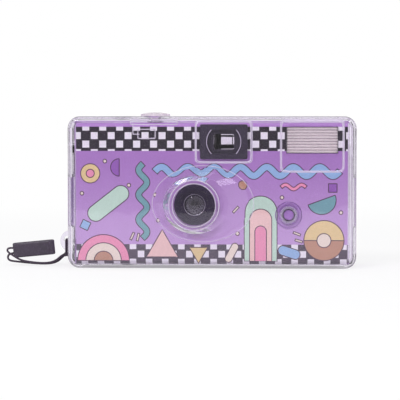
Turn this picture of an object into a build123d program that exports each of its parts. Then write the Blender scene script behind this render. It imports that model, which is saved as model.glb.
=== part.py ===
from build123d import *
import os
from math import cos, radians, sin, sqrt, tan

# A single-use 35 mm flash camera in a printed wrap, closed in a clear waterproof case with a wrist strap.
# Millimetres. +X is the viewer's right, the lens looks along -Y, +Z is up. The case stands on Z = 0,
# and Y = 0 is the plane where its two shells meet.

os.makedirs("parts", exist_ok=True)

# Clearances and overrun
overrun = 1.0
seat_gap = 0.05
spin_gap = 0.08
slide_gap = 0.1
free_gap = 0.3

# Waterproof case
case_width = 120.0
case_height = 63.2
case_front_depth = 18.0
case_back_depth = 19.5
case_wall = 2.0
case_side_wall = 3.0
case_corner_radius = 5.0
case_edge_radius = 2.4
cavity_corner_radius = 0.8
gasket_width = 0.5
gasket_depth = 1.0

# Camera body, two covers that meet at Y = 0, and the printed wrap round them
body_side_gap = 0.6
body_front_depth = 15.4
body_back_depth = 14.8
body_top_gap = 0.6
body_edge_radius = 1.5
cover_wall = 1.2
wrap_thickness = 0.3

# Taking lens and its barrel
lens_x_share = -0.0575
lens_z_share = 0.42089
barrel_radius = 8.4
barrel_front_reach = 5.6
barrel_flange_radius = 10.0
barrel_flange_thickness = 1.0
barrel_rim = 0.8
barrel_cone_depth = 2.4
barrel_tail_radius = 5.6
barrel_tail_length = 1.9
lens_radius = 4.3
lens_edge_thickness = 1.3
lens_front_sagitta = 0.9
lens_back_sagitta = 0.5
lens_seat_radius = 2.4
lens_seat_thickness = 0.7

# Lens bulge and flat port of the case
bulge_x_share = -0.02917
bulge_z_share = 0.42722
bulge_width = 42.2
bulge_height = 31.6
bulge_top_x_share = -0.05333
bulge_top_z_share = 0.42247
bulge_top_width = 27.0
bulge_top_height = 24.0
bulge_rise = 4.0
port_radius = 10.6
port_rise = 6.5
port_groove_radius = 9.7
port_groove_width = 0.5
port_groove_depth = 0.4

# Viewfinder
viewfinder_x_share = 0.0425
viewfinder_roof_gap = 0.4
viewfinder_flange_width = 19.6
viewfinder_flange_height_share = 0.22785
viewfinder_flange_thickness = 1.4
viewfinder_plug_width = 17.6
viewfinder_plug_height_share = 0.18671
viewfinder_plug_depth = 3.3
viewfinder_dish_radius = 7.1
viewfinder_dish_height_share = 0.15665
viewfinder_dish_depth = 2.2
viewfinder_bore_width = 8.6
viewfinder_bore_height_share = 0.10127
viewfinder_step = 0.8
eyepiece_width = 4.8
eyepiece_height = 3.2
tunnel_wall = 1.0
pane_thickness = 1.2
pane_crown = 0.6

# Flash
flash_x_share = 0.3475
flash_roof_gap = 0.2
flash_window_width = 21.2
flash_window_height = 10.8
diffuser_reach = 1.5
diffuser_rib_radius = 0.4
diffuser_rib_count = 9
reflector_depth = 5.5
reflector_wall = 0.5
flash_tube_radius = 1.2
flash_tube_depth_share = 0.66
flash_tube_overhang = 0.8

# Raised windows of the case in front of the viewfinder and the flash
finder_window_width = 23.0
finder_window_height_share = 0.26899
finder_window_rise = 1.4
flash_panel_width = 25.7
flash_panel_height = 21.1
flash_panel_drop = 2.4
flash_panel_rise = 1.2
window_corner_radius = 1.2

# Push button on top of the case, and the camera's shutter button under it
button_wheel_gap = 1.7
button_y = -9.0
button_radius = 6.1
button_rise = 1.7
button_stem_radius = 2.6
button_travel = 1.2
button_well_floor = 0.9
button_roof = 0.8
button_clip_radius = 3.5
button_clip_thickness = 0.3
clip_groove = 0.4
boot_radius = 3.8
boot_thickness = 0.55
spring_wire = 0.26
spring_turns = 2.5
spring_pitch_radius = 4.6
shutter_cap_radius = 3.6
shutter_cap_thickness = 2.6
shutter_stem_radius = 1.4
shutter_stem_length = 8.4
shutter_guide_radius = 2.5
shutter_guide_length = 5.0
shutter_guide_drop = 4.0
shutter_spring_wire = 0.3
shutter_spring_turns = 3.0
shutter_spring_radius = 2.2

# Raised clip housing, frame and bracket moulded on the case below the push button
clip_housing_width = 19.9
clip_housing_height = 2.4
clip_housing_reach = 0.6
clip_frame_width = 7.7
clip_frame_height = 4.3
clip_frame_rim = 0.6
clip_frame_rise = 0.5
clip_frame_shift = 3.05
clip_frame_z_share = 0.88528
bracket_shift = 8.2
bracket_width = 2.0
bracket_height = 5.5
bracket_foot = 3.4

# Flash push on the case and flash button on the camera
push_x_share = 0.26667
push_z_share = 0.35443
push_ring_radius = 7.3
push_ring_width = 1.4
push_ring_rise = 1.6
push_disc_inset = 0.2
push_recess_radius = 4.2
push_recess_depth = 0.6
push_stem_radius = 2.5
push_travel = 1.0
push_web = 1.0
push_seal_radius = 3.8
push_seal_thickness = 0.45
push_clip_radius = 3.4
push_clip_thickness = 0.15
flash_button_radius = 4.0
flash_button_flange_radius = 5.0
flash_button_flange_thickness = 0.4

# Side latches
latch_base_z_share = 0.27532
latch_height = 20.1
latch_pin_y = 9.0
latch_pin_radius = 0.5
latch_pin_grip = 1.2
latch_knuckle_radius = 1.0
latch_thickness = 1.1
latch_reach = 16.0
latch_lip_length = 1.0
latch_lip_depth = 0.7
latch_inset = 0.1
latch_pocket_depth = 2.1
pocket_front_gap = 0.4
pocket_back_gap = 0.7
pocket_end_gap = 0.2
latch_ridge_width = 0.8
latch_ridge_height = 0.6
latch_grip_height = 4.6
latch_rib_count = 5
latch_rib_width = 0.4
latch_rib_depth = 0.35

# Film advance knob of the case
knob_drop = 4.0
knob_radius = 9.5
knob_thickness = 4.1
knob_gap = 0.4
knob_scallop_count = 20
knob_scallop_radius = 0.9
knob_shaft_radius = 2.5
knob_flange_thickness = 1.0
friction_radius = 6.0
friction_ring_width = 1.2
friction_gap = 0.2
knob_seal_radius = 4.0
knob_seal_thickness = 0.65

# Film transport
can_radius = 12.5
can_roof_gap = 3.4
can_wall = 0.4
spool_radius = 5.5
spool_neck_radius = 4.0
thumbwheel_radius = 14.7
thumbwheel_thickness = 4.0
thumbwheel_roof_gap = 2.0
thumbwheel_notch_count = 40
thumbwheel_notch_radius = 0.45
thumbwheel_hub_radius = 2.0
thumbwheel_slot_gap = 0.5
thumbwheel_hub_length = 0.6
film_height_share = 0.5538
film_thickness = 0.14
film_back_gap = 0.8
perforation_pitch = 4.75
perforation_width = 2.0
perforation_height = 2.8
perforation_inset = 2.0
supply_x_share = 0.35
roll_radius = 9.8
supply_spool_radius = 3.5
supply_pin_radius = 1.5
sprocket_x_share = -0.125
sprocket_radius = 4.9
sprocket_tooth_reach = 0.8
sprocket_tooth_width = 1.2
sprocket_tooth_height = 1.0
sprocket_tooth_count = 8
sprocket_shelf_gap = 0.9
sprocket_thickness_share = 0.06329
sprocket_shaft_radius = 1.5
sprocket_collar_radius = 2.4
sprocket_collar_height = 1.0
counter_x_share = 0.17083
counter_y = -2.0
counter_radius = 7.5
counter_thickness = 0.8
counter_hub_radius = 2.4
counter_post_radius = 1.0
counter_window_radius = 1.6
counter_window_offset = 4.8

# Main frame: film gate, light chamber, shelf and front plate
gate_width = 36.0
gate_height = 24.0
gate_plate_thickness = 1.2
film_to_gate = 0.4
frame_side_gap = 0.6
shelf_top_z_share = 0.75158
shelf_thickness = 1.2
shelf_front_y = -6.0
shelf_end_x_share = 0.41667
gate_plate_end_x_share = 0.26167
chamber_wall = 1.0
chamber_back_width = 40.0
chamber_back_height_share = 0.44304
chamber_front_size_share = 0.25316
front_plate_y = -9.0
front_plate_thickness = 1.2
front_plate_left = 13.1
front_plate_right = 14.9
front_plate_gap = 0.6
front_plate_top_z_share = 0.68829

# Shutter
aperture_plate_width = 22.0
aperture_plate_rise = 11.0
aperture_plate_thickness = 1.0
aperture_radius = 1.6
blade_disc_radius = 3.0
blade_thickness = 0.3
blade_gap = 0.3
blade_pivot_dx = 6.5
blade_pivot_dz = 7.0
blade_hub_radius = 2.0
blade_tab_width = 1.4
pivot_radius = 0.8
pivot_head_radius = 1.3
pivot_head_thickness = 0.4
pivot_front_reach = 2.2
blade_spring_radius = 1.35
blade_spring_wire = 0.3
blade_spring_turns = 2.5
kick_x_share = -0.03333
kick_hub_radius = 2.2
kick_post_radius = 1.0
kick_arm_length = 11.0
kick_arm_width = 2.6
kick_thickness = 1.4
kick_rest_angle = 16.0

# Flash electronics
battery_radius = 5.25
battery_length = 44.5
battery_place_share = 0.33
battery_nub_radius = 1.9
battery_nub_length = 0.8
contact_thickness = 0.3
contact_width = 8.0
contact_height = 12.0
board_left_x_share = 0.11667
board_right_x_share = 0.45
board_base_gap = 1.2
board_top_gap = 2.0
board_thickness = 1.2
board_post_radius = 1.5
board_post_inset = 3.0
board_front_y = -12.6
capacitor_x_share = 0.20417
capacitor_radius = 5.0
capacitor_end_gap = 2.7
capacitor_groove = 0.4
transformer_x_share = 0.4
transformer_z_share = 0.45886
transformer_width = 8.0
transformer_height = 10.0
transformer_depth = 3.7
lamp_x_share = 0.14583
lamp_radius = 1.5
lamp_reach = 0.5
lamp_length = 3.1

# Eyepiece surround on the back of the case
back_window_width = 16.0
back_window_height = 11.0
back_window_rim = 1.5
back_window_rise = 0.9

# Strap lug and strap
lug_z = 10.5
lug_radius = 4.7
lug_thickness = 2.8
lug_back_gap = 0.4
lug_hole_radius = 1.5
lug_hole_dx = 1.7
lug_hole_dz = 0.6
cord_diameter = 0.8
hitch_clearance = 0.35
hitch_spacing = 0.9
knot_width = 2.3
knot_height = 1.9
knot_length = 3.4
sleeve_length = 17.6
sleeve_height = 6.2
sleeve_thickness = 2.4
sleeve_from_side = 13.9
sleeve_y = -1.8
sleeve_z = 7.1
sleeve_tilt = 5.5
sleeve_edge_radius = 0.7

# Places that keep their share of the case's width and height
lens_x = lens_x_share * case_width
bulge_x = bulge_x_share * case_width
bulge_top_x = bulge_top_x_share * case_width
viewfinder_x = viewfinder_x_share * case_width
flash_x = flash_x_share * case_width
push_x = push_x_share * case_width
supply_x = supply_x_share * case_width
sprocket_x = sprocket_x_share * case_width
counter_x = counter_x_share * case_width
shelf_end_x = shelf_end_x_share * case_width
gate_plate_end_x = gate_plate_end_x_share * case_width
kick_x = kick_x_share * case_width
board_left_x = board_left_x_share * case_width
board_right_x = board_right_x_share * case_width
capacitor_x = capacitor_x_share * case_width
transformer_x = transformer_x_share * case_width
lamp_x = lamp_x_share * case_width
finder_window_height = finder_window_height_share * case_height
viewfinder_flange_height = viewfinder_flange_height_share * case_height
viewfinder_plug_height = viewfinder_plug_height_share * case_height
viewfinder_dish_height = viewfinder_dish_height_share * case_height
viewfinder_bore_height = viewfinder_bore_height_share * case_height
film_height = film_height_share * case_height
sprocket_thickness = sprocket_thickness_share * case_height
chamber_back_height = chamber_back_height_share * case_height
chamber_front_size = chamber_front_size_share * case_height
lens_z = lens_z_share * case_height
bulge_z = bulge_z_share * case_height
bulge_top_z = bulge_top_z_share * case_height
push_z = push_z_share * case_height
clip_frame_z = clip_frame_z_share * case_height
latch_base_z = latch_base_z_share * case_height
shelf_top_z = shelf_top_z_share * case_height
front_plate_top_z = front_plate_top_z_share * case_height
transformer_z = transformer_z_share * case_height

# Sizes and places that follow from the sizes above
case_half = case_width / 2
cavity_half = case_half - case_side_wall
cavity_front_y = case_wall - case_front_depth
cavity_back_y = case_back_depth - case_wall
cavity_top_z = case_height - case_wall
case_mid_z = case_height / 2
wrap_gap = seat_gap
body_base_z = case_wall + seat_gap + wrap_thickness + wrap_gap
body_top_z = cavity_top_z - body_top_gap - (body_base_z - case_wall)
body_height = body_top_z - body_base_z
body_half = cavity_half - body_side_gap
body_width = 2 * body_half
body_mid_z = body_base_z + body_height / 2
inner_half = body_half - cover_wall
inner_front_y = cover_wall - body_front_depth
inner_back_y = body_back_depth - cover_wall
inner_base_z = body_base_z + cover_wall
inner_top_z = body_top_z - cover_wall
wrap_reach = wrap_gap + wrap_thickness
spool_x = thumbwheel_radius + free_gap - inner_half
button_x = spool_x + thumbwheel_radius + button_wheel_gap
clip_frame_x = button_x - clip_frame_shift
bracket_x = button_x - bracket_shift
thumbwheel_base_z = inner_top_z - thumbwheel_roof_gap - thumbwheel_thickness
knob_z = thumbwheel_base_z - knob_drop
viewfinder_z = inner_top_z - viewfinder_plug_height / 2 - viewfinder_roof_gap
flash_z = inner_top_z - flash_window_height / 2 - flash_roof_gap
wrap_top_z = body_top_z + wrap_reach
wrap_front_y = -body_front_depth - wrap_reach
film_y = inner_back_y - film_back_gap - film_thickness / 2
spool_y = inner_back_y - free_gap - can_radius
roll_y = film_y - film_thickness / 2 - slide_gap - roll_radius
film_base_z = lens_z - film_height / 2
film_top_z = lens_z + film_height / 2
can_base_z = inner_base_z
can_top_z = thumbwheel_base_z - can_roof_gap
gate_back_y = film_y - film_thickness / 2 - film_to_gate
gate_front_y = gate_back_y - gate_plate_thickness
gate_plate_left_x = spool_x + can_radius + frame_side_gap
thumbwheel_top_z = thumbwheel_base_z + thumbwheel_thickness
shelf_base_z = shelf_top_z - shelf_thickness
sprocket_base_z = shelf_base_z - sprocket_shelf_gap - sprocket_thickness
supply_spool_top_z = shelf_base_z - free_gap
front_plate_back_y = front_plate_y + front_plate_thickness
aperture_plate_front_y = front_plate_y - aperture_plate_thickness
blade_back_y = aperture_plate_front_y - blade_gap
blade_front_y = blade_back_y - blade_thickness
pivot_x = lens_x + blade_pivot_dx
pivot_z = lens_z + blade_pivot_dz
blade_tab_length = shelf_base_z - slide_gap - pivot_z
barrel_front_y = -body_front_depth - barrel_front_reach
barrel_flange_front_y = inner_front_y + slide_gap
barrel_flange_back_y = barrel_flange_front_y + barrel_flange_thickness
barrel_tail_y = barrel_flange_back_y + barrel_tail_length
board_back_y = board_front_y + board_thickness
latch_pocket_floor = case_half - latch_pocket_depth
latch_tip_y = latch_pin_y - latch_reach
latch_top_z = latch_base_z + latch_height
pocket_front_y = latch_tip_y - pocket_front_gap
pocket_back_y = latch_pin_y + latch_knuckle_radius + pocket_back_gap
button_well_radius = button_radius + free_gap
button_well_z = cavity_top_z + button_well_floor
push_well_radius = push_ring_radius - push_ring_width
push_well_y = cavity_front_y - push_web
flash_panel_z = flash_z - flash_panel_drop
latch_pin_x = case_half - latch_knuckle_radius
latch_outer_x = case_half - latch_inset
latch_inner_x = latch_outer_x - latch_thickness
button_skirt_z = button_well_z + button_travel + seat_gap
button_dome_z = case_height + button_rise
button_recess_z = button_dome_z - button_roof
button_stem_base_z = wrap_top_z + slide_gap
button_clip_z = cavity_top_z - slide_gap - button_clip_thickness
push_front_y = -case_front_depth - push_ring_rise + push_disc_inset
push_back_y = push_well_y - slide_gap - push_travel
push_end_y = wrap_front_y - seat_gap
push_clip_y = cavity_front_y + seat_gap / 2
wheel_back_y = spool_y + thumbwheel_radius
friction_front_y = wheel_back_y + friction_gap
friction_back_y = cavity_back_y - free_gap
knob_front_y = case_back_depth + knob_gap
knob_back_y = knob_front_y + knob_thickness
friction_core_radius = friction_radius - friction_ring_width / 2
shutter_cap_top_z = button_stem_base_z - seat_gap
shutter_guide_top_z = inner_top_z - shutter_guide_drop
flange_back_y = wrap_front_y - seat_gap
flange_front_y = flange_back_y - viewfinder_flange_thickness
plug_back_y = flange_back_y + viewfinder_plug_depth
tunnel_front_y = plug_back_y + slide_gap
tunnel_back_y = inner_back_y - slide_gap
reflector_front_y = inner_front_y + slide_gap
reflector_half = flash_window_width / 2 - 2 * free_gap
tube_y = reflector_front_y + reflector_depth * flash_tube_depth_share
battery_y = inner_front_y + free_gap + battery_radius
battery_z = inner_base_z + free_gap + battery_radius
battery_top_z = battery_z + battery_radius
front_plate_base_z = battery_top_z + front_plate_gap
board_base_z = battery_top_z + board_base_gap
board_top_z = flash_z - flash_window_height / 2 - board_top_gap
can_reach = sqrt(can_radius**2 - (spool_y - battery_y - battery_radius) ** 2)
roll_reach = sqrt(roll_radius**2 - (roll_y - battery_y - battery_radius) ** 2)
contact_reach = battery_length / 2 + slide_gap + contact_thickness
battery_left_limit = spool_x + can_reach + contact_reach
battery_right_limit = supply_x - roll_reach - contact_reach
battery_x = battery_left_limit + battery_place_share * (battery_right_limit - battery_left_limit)
capacitor_y = board_back_y + free_gap + capacitor_radius
supply_pin_base_z = body_base_z + cover_wall / 2
kick_base_z = shelf_base_z - slide_gap - kick_thickness
sprocket_y = film_y - film_thickness / 2 - 2 * slide_gap - sprocket_radius - sprocket_tooth_reach
counter_top_z = inner_top_z - 2 * slide_gap - counter_thickness


# Solids by their limits, used inside a part's own block
def cuboid(x0, x1, y0, y1, z0, z1, mode=Mode.ADD):
    with Locations(((x0 + x1) / 2, (y0 + y1) / 2, (z0 + z1) / 2)):
        Box(x1 - x0, y1 - y0, z1 - z0, mode=mode)


def rod_x(y, z, radius, x0, x1, mode=Mode.ADD):
    with BuildSketch(Plane.YZ.offset(x0)) as profile:
        with Locations((y, z)):
            Circle(radius)
    extrude(profile.sketch, amount=x1 - x0, mode=mode)


def rod_y(x, z, radius, y0, y1, mode=Mode.ADD):
    with BuildSketch(Plane.XZ.offset(-y1)) as profile:
        with Locations((x, z)):
            Circle(radius)
    extrude(profile.sketch, amount=y1 - y0, mode=mode)


def rod_z(x, y, radius, z0, z1, mode=Mode.ADD):
    with BuildSketch(Plane.XY.offset(z0)) as profile:
        with Locations((x, y)):
            Circle(radius)
    extrude(profile.sketch, amount=z1 - z0, mode=mode)


def panel_y(x, z, width, height, corner, y0, y1, mode=Mode.ADD):
    with BuildSketch(Plane.XZ.offset(-y1)) as profile:
        with Locations((x, z)):
            RectangleRounded(width, height, corner)
    extrude(profile.sketch, amount=y1 - y0, mode=mode)


def turned_y(x, z, outline, mode=Mode.ADD):
    """Revolves an outline of (radius, y) points about a line along Y."""
    with BuildSketch(Plane((x, 0, z), x_dir=(1, 0, 0), z_dir=(0, 0, 1))) as profile:
        with BuildLine():
            Polyline(*outline, close=True)
        make_face()
    revolve(profile.sketch, axis=Axis((x, 0, z), (0, 1, 0)), mode=mode)


def turned_z(x, y, outline, mode=Mode.ADD):
    """Revolves an outline of (radius, z) points about an upright line."""
    with BuildSketch(Plane((x, y, 0), x_dir=(1, 0, 0), z_dir=(0, -1, 0))) as profile:
        with BuildLine():
            Polyline(*outline, close=True)
        make_face()
    revolve(profile.sketch, axis=Axis((x, y, 0), (0, 0, 1)), mode=mode)


def cap_drop(radius, sagitta):
    """How far a round cap has dropped below its crown at half its radius."""
    sphere = (radius**2 + sagitta**2) / (2 * sagitta)
    return sphere - sqrt(sphere**2 - radius**2 / 4)


def coil_spring(name, origin, direction, radius, wire, turns, length):
    """An open coil with its axis on the given line, inside a free length measured over the wire."""
    rise = length - wire
    coil_plane = Plane(origin, x_dir=(1, 0, 0), z_dir=direction)
    with BuildPart() as spring:
        with BuildLine(Plane.XY.offset(wire / 2)):
            Helix(pitch=rise / turns, height=rise, radius=radius)
        with BuildSketch(Plane((radius, 0, wire / 2), z_dir=(0, 1, 0))):
            Circle(wire / 2)
        sweep()
    write(name, coil_plane.location * spring.part)


def write(name, shape):
    shape.label = name
    export_step(shape, "parts/" + name + ".step")


# Front shell of the case
def elliptic_bulge(inset, front_y, back_y, mode=Mode.ADD):
    """The tapered bulge round the lens, drawn in by the inset at both ends."""
    with BuildSketch(Plane.XZ.offset(-back_y)) as root:
        with Locations((bulge_x, bulge_z)):
            Ellipse(bulge_width / 2 - inset, bulge_height / 2 - inset)
    with BuildSketch(Plane.XZ.offset(-front_y)) as top:
        with Locations((bulge_top_x, bulge_top_z)):
            Ellipse(bulge_top_width / 2 - inset, bulge_top_height / 2 - inset)
    loft(sections=[root.sketch, top.sketch], mode=mode)


def latch_pocket(side):
    cuboid(
        min(side * latch_pocket_floor, side * (case_half + overrun)),
        max(side * latch_pocket_floor, side * (case_half + overrun)),
        pocket_front_y,
        pocket_back_y,
        latch_base_z - pocket_end_gap,
        latch_top_z + pocket_end_gap,
        mode=Mode.SUBTRACT,
    )


def case_block(y0, y1, outer_face_index):
    """A rounded block between two planes, with the edges of one of its end faces rounded too."""
    panel_y(0, case_mid_z, case_width, case_height, case_corner_radius, y0, y1)
    shell_now = BuildPart._get_context().part
    fillet(shell_now.faces().sort_by(Axis.Y)[outer_face_index].edges(), case_edge_radius)


def make_case_front():
    front_y = -case_front_depth
    with BuildPart() as case_front:
        case_block(front_y, 0, 0)
        elliptic_bulge(0, front_y - bulge_rise, front_y + case_wall / 2)
        rod_y(lens_x, lens_z, port_radius, front_y - port_rise, front_y)
        panel_y(
            viewfinder_x,
            viewfinder_z,
            finder_window_width,
            finder_window_height,
            window_corner_radius,
            front_y - finder_window_rise,
            front_y + case_wall / 2,
        )
        panel_y(
            flash_x,
            flash_panel_z,
            flash_panel_width,
            flash_panel_height,
            window_corner_radius,
            front_y - flash_panel_rise,
            front_y + case_wall / 2,
        )
        rod_y(push_x, push_z, push_ring_radius, front_y - push_ring_rise, front_y)
        button_fittings(front_y)
        strap_lug()

        panel_y(
            0,
            case_mid_z,
            2 * cavity_half,
            case_height - 2 * case_wall,
            cavity_corner_radius,
            cavity_front_y,
            overrun,
            mode=Mode.SUBTRACT,
        )
        bulge_floor_y = front_y - bulge_rise + case_wall
        elliptic_bulge(case_wall, bulge_floor_y, cavity_front_y, mode=Mode.SUBTRACT)
        port_bore = barrel_radius + 2 * slide_gap + free_gap / 2
        port_floor_y = front_y - port_rise + case_wall
        rod_y(lens_x, lens_z, port_bore, port_floor_y, cavity_front_y, mode=Mode.SUBTRACT)
        turned_y(
            lens_x,
            lens_z,
            [
                (port_groove_radius, front_y - port_rise - overrun),
                (port_groove_radius + port_groove_width, front_y - port_rise - overrun),
                (port_groove_radius + port_groove_width, front_y - port_rise + port_groove_depth),
                (port_groove_radius, front_y - port_rise + port_groove_depth),
            ],
            mode=Mode.SUBTRACT,
        )
        panel_y(
            viewfinder_x,
            viewfinder_z,
            viewfinder_flange_width + 2 * free_gap,
            viewfinder_flange_height + 2 * free_gap,
            window_corner_radius / 2,
            wrap_front_y - viewfinder_flange_thickness - free_gap,
            cavity_front_y,
            mode=Mode.SUBTRACT,
        )
        panel_y(
            flash_x,
            flash_z,
            flash_window_width + 2 * free_gap,
            flash_window_height + 2 * free_gap,
            window_corner_radius / 2,
            -body_front_depth - diffuser_reach - 2 * diffuser_rib_radius,
            cavity_front_y,
            mode=Mode.SUBTRACT,
        )
        rod_y(
            push_x,
            push_z,
            push_well_radius,
            front_y - push_ring_rise - overrun,
            push_well_y,
            mode=Mode.SUBTRACT,
        )
        rod_y(push_x, push_z, push_stem_radius + spin_gap, push_well_y, cavity_front_y, mode=Mode.SUBTRACT)
        rod_z(
            button_x, button_y, button_well_radius, button_well_z, case_height + overrun, mode=Mode.SUBTRACT
        )
        rod_z(
            button_x, button_y, button_stem_radius + spin_gap, cavity_top_z, button_well_z, mode=Mode.SUBTRACT
        )
        for side in (-1, 1):
            latch_pocket(side)
            latch_ridge(side)
    write("case_front", case_front.part)


def button_fittings(front_y):
    """The housing, frame and bracket moulded on the front below the push button."""
    cuboid(
        button_x - clip_housing_width / 2,
        button_x + clip_housing_width / 2,
        front_y - clip_housing_reach,
        front_y + case_edge_radius,
        case_height - case_edge_radius - clip_housing_height / 2,
        case_height - case_edge_radius + clip_housing_height / 2,
    )
    frame_back_y = front_y + case_wall / 2
    panel_y(
        clip_frame_x,
        clip_frame_z,
        clip_frame_width,
        clip_frame_height,
        clip_frame_rim,
        front_y - clip_frame_rise,
        frame_back_y,
    )
    panel_y(
        clip_frame_x,
        clip_frame_z,
        clip_frame_width - 2 * clip_frame_rim,
        clip_frame_height - 2 * clip_frame_rim,
        clip_frame_rim / 2,
        front_y - clip_frame_rise - overrun,
        front_y,
        mode=Mode.SUBTRACT,
    )
    bracket_top_z = case_height - case_edge_radius
    cuboid(
        bracket_x - bracket_width / 2,
        bracket_x,
        front_y - clip_frame_rise,
        frame_back_y,
        bracket_top_z - bracket_height,
        bracket_top_z,
    )
    cuboid(
        bracket_x - bracket_width / 2,
        bracket_x - bracket_width / 2 + bracket_foot,
        front_y - clip_frame_rise,
        frame_back_y,
        bracket_top_z - bracket_height,
        bracket_top_z - bracket_height + bracket_width / 2,
    )


def strap_lug():
    """A half-round eye on the left side of the front shell."""
    lug_back_y = -lug_back_gap
    lug_front_y = lug_back_y - lug_thickness
    rod_y(-case_half, lug_z, lug_radius, lug_front_y, lug_back_y)
    hole_x = -case_half - lug_hole_dx
    rod_y(hole_x, lug_z + lug_hole_dz, lug_hole_radius, lug_front_y, lug_back_y, mode=Mode.SUBTRACT)


def latch_ridge(side):
    """The ridge in the latch pocket that the lip of a closed latch sits in front of."""
    lip_back_y = latch_tip_y + latch_lip_length
    ridge_front_y = lip_back_y + free_gap
    cuboid(
        min(side * latch_pocket_floor, side * (latch_pocket_floor + latch_ridge_height)),
        max(side * latch_pocket_floor, side * (latch_pocket_floor + latch_ridge_height)),
        ridge_front_y,
        ridge_front_y + latch_ridge_width,
        latch_base_z + latch_rib_width * latch_rib_count,
        latch_top_z - latch_rib_width * latch_rib_count,
    )


# Back shell of the case, with the knob's bearing, the eyepiece surround and the gasket's rebate
def make_case_back():
    back_y = case_back_depth
    with BuildPart() as case_back:
        case_block(0, back_y, -1)
        panel_y(
            viewfinder_x,
            viewfinder_z,
            back_window_width,
            back_window_height,
            window_corner_radius,
            back_y - case_wall / 2,
            back_y + back_window_rise,
        )
        panel_y(
            viewfinder_x,
            viewfinder_z,
            back_window_width - 2 * back_window_rim,
            back_window_height - 2 * back_window_rim,
            window_corner_radius / 2,
            back_y,
            back_y + back_window_rise + overrun,
            mode=Mode.SUBTRACT,
        )
        panel_y(
            0,
            case_mid_z,
            2 * cavity_half,
            case_height - 2 * case_wall,
            cavity_corner_radius,
            -overrun,
            cavity_back_y,
            mode=Mode.SUBTRACT,
        )
        panel_y(
            0,
            case_mid_z,
            2 * (cavity_half + gasket_width),
            case_height - 2 * case_wall + 2 * gasket_width,
            cavity_corner_radius + gasket_width,
            -overrun,
            gasket_depth,
            mode=Mode.SUBTRACT,
        )
        rod_y(
            spool_x,
            knob_z,
            knob_shaft_radius + spin_gap,
            cavity_back_y - overrun,
            back_y + overrun,
            mode=Mode.SUBTRACT,
        )
        rod_y(
            spool_x,
            knob_z,
            knob_seal_radius + seat_gap,
            cavity_back_y - overrun,
            cavity_back_y + knob_seal_thickness,
            mode=Mode.SUBTRACT,
        )
        for side in (-1, 1):
            latch_pocket(side)
            rod_z(
                side * latch_pin_x,
                latch_pin_y,
                latch_pin_radius,
                latch_base_z - latch_pin_grip,
                latch_top_z + latch_pin_grip,
                mode=Mode.SUBTRACT,
            )
    write("case_back", case_back.part)


def make_gasket():
    with BuildPart() as case_gasket:
        panel_y(
            0,
            case_mid_z,
            2 * (cavity_half + gasket_width - seat_gap),
            case_height - 2 * (case_wall - gasket_width + seat_gap),
            cavity_corner_radius + gasket_width - seat_gap,
            0,
            gasket_depth,
        )
        panel_y(
            0,
            case_mid_z,
            2 * cavity_half,
            case_height - 2 * case_wall,
            cavity_corner_radius,
            -overrun,
            gasket_depth + overrun,
            mode=Mode.SUBTRACT,
        )
    write("case_gasket", case_gasket.part)


# Side latches and their pins
def make_latch(name, side):
    with BuildPart() as latch:
        cuboid(
            min(side * latch_inner_x, side * latch_outer_x),
            max(side * latch_inner_x, side * latch_outer_x),
            latch_tip_y,
            latch_pin_y,
            latch_base_z,
            latch_top_z,
        )
        lip_x = latch_inner_x - latch_lip_depth
        cuboid(
            min(side * lip_x, side * latch_outer_x),
            max(side * lip_x, side * latch_outer_x),
            latch_tip_y,
            latch_tip_y + latch_lip_length,
            latch_base_z,
            latch_top_z,
        )
        rod_z(side * latch_pin_x, latch_pin_y, latch_knuckle_radius, latch_base_z, latch_top_z)
        rod_z(
            side * latch_pin_x,
            latch_pin_y,
            latch_pin_radius + spin_gap,
            latch_base_z,
            latch_top_z,
            mode=Mode.SUBTRACT,
        )
        groove_x = latch_outer_x - latch_rib_depth
        for number in range(latch_rib_count):
            groove_z = latch_top_z - latch_grip_height * (number + 1) / latch_rib_count
            cuboid(
                min(side * groove_x, side * (latch_outer_x + overrun)),
                max(side * groove_x, side * (latch_outer_x + overrun)),
                latch_tip_y - overrun,
                latch_pin_y - latch_knuckle_radius,
                groove_z - latch_rib_width / 2,
                groove_z + latch_rib_width / 2,
                mode=Mode.SUBTRACT,
            )
    write(name, latch.part)


def make_latch_pins():
    with BuildPart() as latch_pins:
        for side in (-1, 1):
            rod_z(
                side * latch_pin_x,
                latch_pin_y,
                latch_pin_radius,
                latch_base_z - latch_pin_grip,
                latch_top_z + latch_pin_grip,
            )
    write("latch_pins", latch_pins.part)


# Push button of the case: dome, clip, boot and spring
def make_case_button():
    recess_radius = button_radius - button_roof
    dome_edge_z = button_recess_z
    with BuildPart() as case_button:
        with BuildSketch(Plane((button_x, button_y, 0), x_dir=(1, 0, 0), z_dir=(0, -1, 0))) as dome:
            with BuildLine():
                Line((0, button_stem_base_z), (button_stem_radius, button_stem_base_z))
                Line((button_stem_radius, button_stem_base_z), (button_stem_radius, button_recess_z))
                Line((button_stem_radius, button_recess_z), (recess_radius, button_recess_z))
                Line((recess_radius, button_recess_z), (recess_radius, button_skirt_z))
                Line((recess_radius, button_skirt_z), (button_radius, button_skirt_z))
                Line((button_radius, button_skirt_z), (button_radius, dome_edge_z))
                ThreePointArc(
                    (button_radius, dome_edge_z),
                    (button_radius / 2, button_dome_z - cap_drop(button_radius, button_roof)),
                    (0, button_dome_z),
                )
                Line((0, button_dome_z), (0, button_stem_base_z))
            make_face()
        revolve(dome.sketch, axis=Axis((button_x, button_y, 0), (0, 0, 1)))
        turned_z(
            button_x,
            button_y,
            [
                (button_stem_radius - clip_groove, button_clip_z - slide_gap / 2),
                (button_stem_radius + overrun, button_clip_z - slide_gap / 2),
                (button_stem_radius + overrun, button_clip_z + button_clip_thickness + slide_gap / 2),
                (button_stem_radius - clip_groove, button_clip_z + button_clip_thickness + slide_gap / 2),
            ],
            mode=Mode.SUBTRACT,
        )
    write("case_button", case_button.part)


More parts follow.
